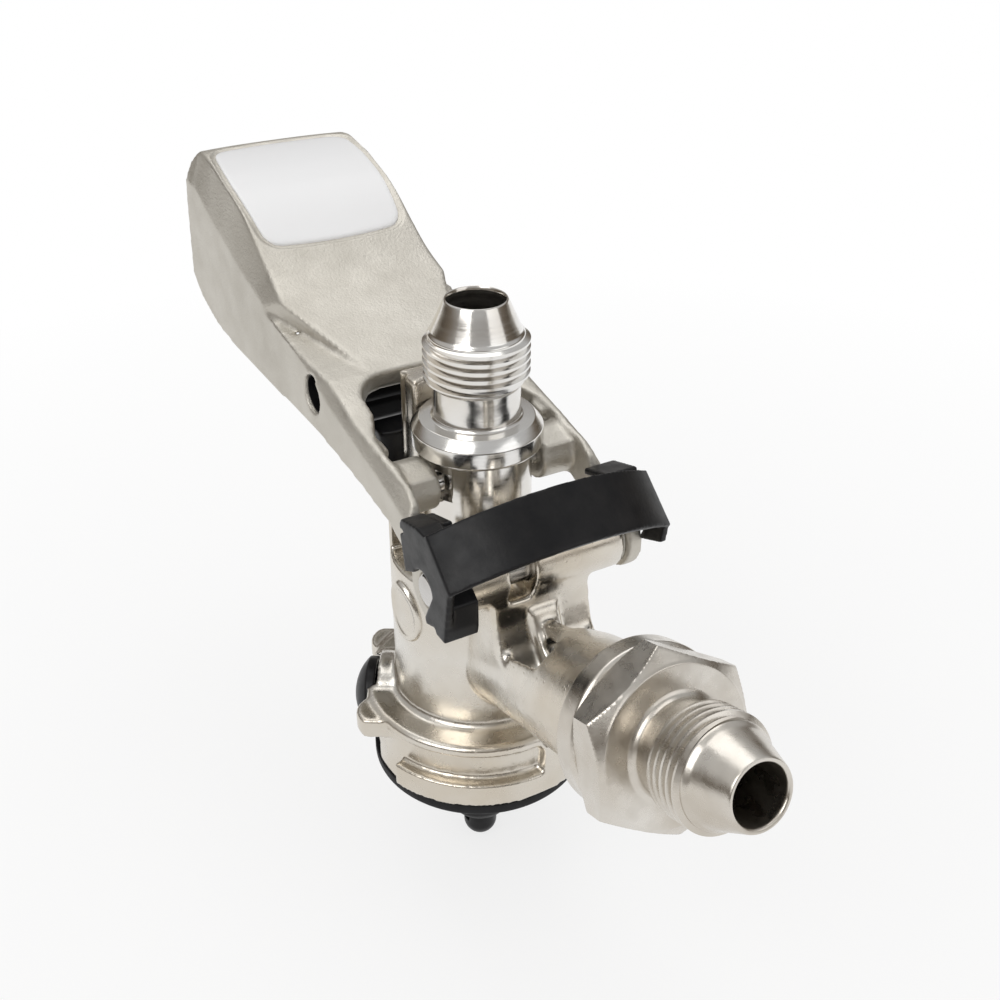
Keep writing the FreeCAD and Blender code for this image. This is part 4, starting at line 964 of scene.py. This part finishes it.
@dataclass
class LeverAssembly:
    """The cast lever with its bare label, black blocks that paint the shade inside it, hinge pin, rollers and
    sprung clip.
    """

    hinge: Point = (22.5, 69.5)
    cord_hole: Point = (-35.6, 89.2)
    cord_bore: float = 4.25
    fork_half: float = 20.9
    crown: Sequence[Point] = (
        (-132.0, 118.0), (-117.0, 126.6), (-103.0, 125.4), (-84.0, 119.8), (-75.0, 113.6), (-66.0, 107.8),
        (-58.0, 103.9), (-50.0, 101.3), (-42.0, 98.9), (-33.0, 96.2), (-24.0, 93.6), (-14.0, 90.8),
    )
    ease: float = 6.0
    label_ends: Point = (-112.2, -72.4)
    label_half: float = 18.0
    label_bow: Point = (1.0, 1.7)
    border: float = 1.5
    recess: float = 0.75
    film: float = 0.62
    corner: float = 3.2
    eased_part: Point = (-122.0, -18.0)
    pressed_part: Point = (-116.0, -68.0)
    pressed_skin: float = 2.4
    bow_start: float = -100.0
    bow_depth: float = 3.4

    def crown_line(self, x: float) -> float:
        """The height of the solid's crown at a station, straight from corner to corner.

        Args:
            x: The station along the grip, in millimetres.

        Returns:
            The height in millimetres.
        """
        index = sum(x > station for station, _ in self.crown[1:-1])
        (x0, z0), (x1, z1) = self.crown[index:index + 2]
        return z0 + (z1 - z0) * (x - x0) / (x1 - x0)

    def crown_height(self, x: float) -> float:
        """The crown's height with its kinks eased out over a few millimetres.

        Args:
            x: The station along the grip, in millimetres.

        Returns:
            The height in millimetres.
        """
        steps = 8
        places = (x + self.ease * (2 * index / steps - 1) for index in range(steps + 1))
        return sum(self.crown_line(place) for place in places) / (steps + 1)

    def inside_label(self, x: float, y: float) -> float:
        """How far a point in plan lies inside the label's bowed outline.

        Args:
            x: The station along the grip.
            y: The place across it.

        Returns:
            The depth in millimetres, negative outside.
        """
        low, high = self.label_ends
        half_length, middle = (high - low) / 2, (high + low) / 2
        along, across = (x - middle) / half_length, y / self.label_half
        end_gap = half_length - abs(x - middle) - self.label_bow[0] * across ** 2
        side_gap = self.label_half + self.label_bow[1] * (1 - along ** 2) - abs(y)
        if end_gap < self.corner and side_gap < self.corner:
            return self.corner - math.hypot(self.corner - end_gap, self.corner - side_gap)
        return min(end_gap, side_gap)

    def bowed(self, x: float, y: float) -> float:
        """Draws the corners of the grip's end in, so that the end bows outward.

        Args:
            x: The station along the grip.
            y: The place across it.

        Returns:
            The new station.
        """
        tip = clamped((self.bow_start - x) / 20.0)
        return x + self.bow_depth * tip * tip * (abs(y) / 24.0) ** 2.6

    def shape(self, point: Vector) -> Vector:
        """Eases the crown, bows the grip's end and presses the label's recess into it.

        Args:
            point: A point of the casting, in millimetres.

        Returns:
            The moved point.
        """
        x, y, z = point
        low, high = self.eased_part
        if x > high:
            return point
        fade = 6.0
        line = self.crown_line(x)
        depth = line - z
        near = clamped(1.0 - (depth - 5.0) / fade) * clamped((high - x) / fade) * clamped((x - low) / fade)
        z += (self.crown_height(x) - line) * near
        if depth < self.pressed_skin and self.pressed_part[0] < x < self.pressed_part[1]:
            press = clamped((self.inside_label(x, y) + self.border) / 0.7)
            z -= self.recess * press * press * (3 - 2 * press)
        return Vector((self.bowed(x, y), y, z))

    def label(self) -> bpy.types.Mesh:
        """Shapes the thin bare plate with bowed edges and round corners over the crown.

        Returns:
            The mesh.
        """
        middle = sum(self.label_ends) / 2
        count = 96
        outline = []
        for index in range(count):
            turn = math.tau * index / count
            way = (math.cos(turn), math.sin(turn))
            reach = 30.0
            while self.inside_label(middle + way[0] * reach, way[1] * reach) < 0.0:
                reach -= 0.05
            outline.append((way[0] * reach, way[1] * reach))
        rows = [(step / 16, 0.0) for step in range(16)]
        rows += [(0.975, 0.0), (0.993, -0.08), (1.0, -0.3), (1.0, -0.9)]
        rings = []
        for reach, drop in rows:
            ring = []
            for along, across in outline if reach else outline[:1]:
                x, y = middle + along * reach, across * reach
                z = self.crown_height(x) - self.recess + self.film + drop
                ring.append(Vector((self.bowed(x, y), y, z)))
            rings.append(ring)
        return skinned("label_film", rings, False, angle=30.0)

    def casting(self, source: bpy.types.Mesh) -> bpy.types.Mesh:
        """Makes the lever: a closed crown under the label, full lobes, and the hollow behind the throat.

        Args:
            source: The lever's solid.

        Returns:
            The mesh.
        """
        crown = [(x, z) for x, z in self.crown if -118.0 < x < -64.0]
        bed = [(x, z - 0.02) for x, z in crown] + [(x, z - 2.6) for x, z in reversed(crown)]
        lobe = [(-3.4, 81.5), (-3.0, 86.2), (1.0, 87.4), (7.0, 85.6), (7.4, 80.5)]
        flank = [(-10.0, 86.4), (-9.0, 88.6), (-4.4, 88.0), (-4.6, 86.0)]
        hollow = [(-47.0, 76.0), (-47.0, 95.2), (-26.0, 89.6), (-26.0, 76.0)]
        fills = [Prism(bed, -19.9, 19.9)]
        for outline, near in ((lobe, 13.4), (flank, 18.8)):
            fills += [Prism(outline, -self.fork_half, -near), Prism(outline, near, self.fork_half)]
        cast = Casting(0.62, 5, fills, [Prism(hollow, -16.8, 16.8)])
        return cast.mesh("lever_casting", source, self.shape)

    def throat_shade(self) -> bpy.types.Mesh:
        """Makes the black block that paints the shade in the hollow behind the throat, with the side hole
        through it.

        Returns:
            The mesh.
        """
        side = [(-46.2, 76.2), (-46.2, 94.6), (-41.0, 93.2), (-31.2, 90.4), (-31.2, 85.0), (-32.6, 80.6),
                (-37.0, 76.2)]
        x, z = self.cord_hole
        turns = [math.tau * step / 32 for step in range(32)]
        ring = [(x + self.cord_bore * math.cos(turn), z + self.cord_bore * math.sin(turn)) for turn in turns]
        return Casting(0.4, 3, cuts=[Prism(ring, -30.0, 30.0)]).mesh("throat_shade_block", Prism(side, -16.4, 16.4))

    def across(self, spot: Point) -> Matrix:
        """The move from an upright axis to one across the lever.

        Args:
            spot: The new axis's place in the middle plane, in millimetres.

        Returns:
            The matrix, in metres.
        """
        x, z = spot
        return Matrix.Translation((x * MM, 0, z * MM)) @ Matrix.Rotation(math.pi / 2, 4, "X")

    def pillar_shade_block(self) -> bpy.types.Mesh:
        """Makes the black block round the body's rear pillar, which paints the shade that lies there in the
        throat.

        Returns:
            The mesh.
        """
        plan = [(-28.6, -13.4), (-21.6, -13.4), (-20.8, -11.0), (-20.6, 0.0), (-20.8, 11.0), (-21.6, 13.4),
                (-28.6, 13.4)]
        return Casting(0.5, 3).mesh("pillar_shade_block", Prism(plan, 62.0, 82.6, upright=True))

    def clip(self, source: bpy.types.Mesh) -> bpy.types.Mesh:
        """Makes the sprung clip, with a thick foot and hook on the left end and the right end cut short.

        Args:
            source: The clip's solid.

        Returns:
            The mesh.
        """
        foot = [(29.9, 64.3), (34.0, 64.3), (34.6, 67.4), (34.4, 72.6), (31.6, 74.6), (30.8, 70.0)]
        hook = [(14.8, 81.6), (15.4, 83.8), (23.0, 85.6), (26.4, 85.6), (26.6, 83.6), (22.0, 83.4),
                (17.0, 81.0)]
        trim = [(12.0, 60.0), (12.0, 69.5), (27.0, 69.5), (38.0, 74.0), (38.0, 60.0)]
        fills = [Prism(foot, -26.3, -18.6), Prism(hook, -26.3, -21.0)]
        return Casting(0.34, 5, fills, [Prism(trim, 18.0, 30.0)]).mesh("hinge_clip_band", source)

    def build(self, shop: Workshop) -> None:
        """Adds the lever's pieces.

        Args:
            shop: The workshop.
        """
        lever, clip = (shop.nodes[name].data for name in ("lever", "hinge_clip"))
        shop.add("lever_casting", self.casting(lever), Slot.SATIN, Ride.LEVER, "lever")
        # A black block paints the shade in the hollow behind the throat.
        shop.add("throat_shade_block", self.throat_shade(), Slot.PLASTIC, Ride.LEVER)
        # A black tube paints the shade inside the cord hole.
        wall = [(self.cord_bore, -23.2), (5.3, -23.2), (5.3, 23.2), (self.cord_bore, 23.2)]
        shade_tube = Turned(wall, 72, matrix=self.across(self.cord_hole)).mesh("cord_shade_tube")
        shop.add("cord_shade_tube", shade_tube, Slot.PLASTIC, Ride.LEVER)
        # A black block paints the shade round the body's rear pillar in the throat.
        shop.add("pillar_shade_block", self.pillar_shade_block(), Slot.PLASTIC, Ride.BODY)
        shop.add("label_film", self.label(), Slot.LABEL, Ride.LEVER, "label_plate")
        shop.add("hinge_clip_band", self.clip(clip), Slot.PLASTIC, Ride.LEVER, "hinge_clip")
        bar = [(0, -24.6), (3.2, -24.6), (4.0, -23.8), (4.0, 23.8), (3.2, 24.6), (0, 24.6)]
        pin = Turned(eased(bar, 0.25), 64, matrix=self.across(self.hinge)).mesh("hinge_pin_bar")
        shop.add("hinge_pin_bar", pin, Slot.PIN, Ride.LEVER, "hinge_pin")
        shop.dress_nodes(Slot.BEARING, "hinge_washers")
        shop.dress_nodes(Slot.PIN, "drive_rollers")


@dataclass
class Studio:
    """The pale floor, the soft lights and the camera."""

    azimuth: float = 60.254
    elevation: float = 31.254
    roll: float = 0.149
    place: tuple[float, float, float] = (0.20904, -0.11366, 0.21666)
    lens: float = 44.45
    floor_height: float = -0.0309
    floor_fade: Point = (0.12, 0.42)
    floor_glow: Point = (0.76, 1.0)

    def camera(self) -> None:
        """Sets the camera at the photograph's viewpoint."""
        a, e, r = (math.radians(v) for v in (self.azimuth, self.elevation, self.roll))
        back = Vector((math.sin(a) * math.cos(e), -math.cos(a) * math.cos(e), math.sin(e)))
        right = Vector((math.cos(a), math.sin(a), 0))
        up = back.cross(right)
        across = right * math.cos(r) + up * math.sin(r)
        rise = up * math.cos(r) - right * math.sin(r)
        data = bpy.data.cameras.new("camera")
        data.lens = self.lens
        data.sensor_width = 36.0
        data.clip_start = 0.01
        camera = linked("camera", data)
        turn = Matrix((across, rise, back)).transposed().to_4x4()
        camera.matrix_world = Matrix.Translation(self.place) @ turn
        bpy.context.scene.camera = camera

    def floor(self) -> None:
        """Lays the pale floor, which keeps the shadow and turns to plain white further out."""
        size = 6.0
        corners = [(size * x, size * y, self.floor_height) for x, y in ((-1, -1), (1, -1), (1, 1), (-1, 1))]
        mesh = bpy.data.meshes.new("floor")
        mesh.from_pydata(corners, [], [(0, 1, 2, 3)])
        floor = linked("floor", mesh)
        material = bpy.data.materials.new("pale_floor")
        material.use_nodes = True
        g = Graph(material.node_tree)
        path = g.node("ShaderNodeLightPath").outputs
        seen = g.math("MAXIMUM", path["Is Camera Ray"], path["Is Glossy Ray"])
        seen = g.math("MAXIMUM", seen, path["Is Transmission Ray"])
        distance = g.node("ShaderNodeVectorMath")
        distance.operation = "LENGTH"
        g.fill(distance, {0: g.node("ShaderNodeTexCoord").outputs["Object"]})
        spread = g.span(distance.outputs["Value"], *self.floor_glow, *self.floor_fade)
        diffuse = g.node("ShaderNodeBsdfDiffuse", Color=(0.92, 0.92, 0.92, 1.0))
        glow = g.node("ShaderNodeEmission", Strength=1.0)
        mix = g.node("ShaderNodeMixShader", Fac=g.math("MULTIPLY", seen, spread))
        g.fill(mix, {1: diffuse.outputs["BSDF"], 2: glow.outputs["Emission"]})
        g.node("ShaderNodeOutputMaterial", Surface=mix.outputs["Shader"])
        mesh.materials.append(material)

    def world(self) -> None:
        """Fills the room with soft light, darker just below the horizon."""
        world = bpy.data.worlds.new("studio")
        bpy.context.scene.world = world
        world.use_nodes = True
        g = Graph(world.node_tree)
        split = g.node("ShaderNodeSeparateXYZ", Vector=g.node("ShaderNodeTexCoord").outputs["Generated"])
        colour = g.ramp(split.outputs["Z"], [
            (0.0, (0.62, 0.58, 0.52)), (0.10, (0.16, 0.13, 0.10)), (0.26, (0.30, 0.25, 0.20)),
            (0.48, (0.92, 0.92, 0.92)), (1.0, (1.0, 1.0, 1.0)),
        ])
        light = g.node("ShaderNodeBackground", Color=colour, Strength=0.55)
        g.node("ShaderNodeOutputWorld", Surface=light.outputs["Background"])

    def lamp(self, name: str, place: tuple[float, float, float], size: float, power: float) -> None:
        """Adds a soft square lamp aimed at the coupler.

        Args:
            name: The lamp's name.
            place: Its place in metres.
            size: Its width in metres.
            power: Its power in watts.
        """
        data = bpy.data.lights.new(name, "AREA")
        data.energy = power
        data.size = size
        lamp = linked(name, data)
        lamp.location = place
        aim = Vector((0, 0, 0.05)) - Vector(place)
        lamp.rotation_euler = aim.to_track_quat("-Z", "Y").to_euler()

    def build(self) -> None:
        """Sets up the studio."""
        bpy.context.scene.view_settings.view_transform = "Standard"
        self.camera()
        self.floor()
        self.world()
        self.lamp("key_light", (0.35, -0.75, 0.85), size=0.7, power=4.2)
        self.lamp("fill_light", (0.9, 0.5, 0.6), size=0.8, power=1.6)
        self.lamp("top_light", (-0.4, 0.1, 1.1), size=0.9, power=3.0)


def main() -> None:
    """Builds the studio, then each sub-assembly."""
    logging.basicConfig(level=logging.INFO, format="%(name)s: %(message)s")
    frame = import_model()
    Studio().build()
    shop = Workshop(frame["nodes"])
    threads = ThreadTree()
    BodyCasting().build(shop)
    GasInlet().build(shop, threads)
    ProbeAssembly().build(shop, threads)
    LeverAssembly().build(shop)


if __name__ == "__main__":
    main()
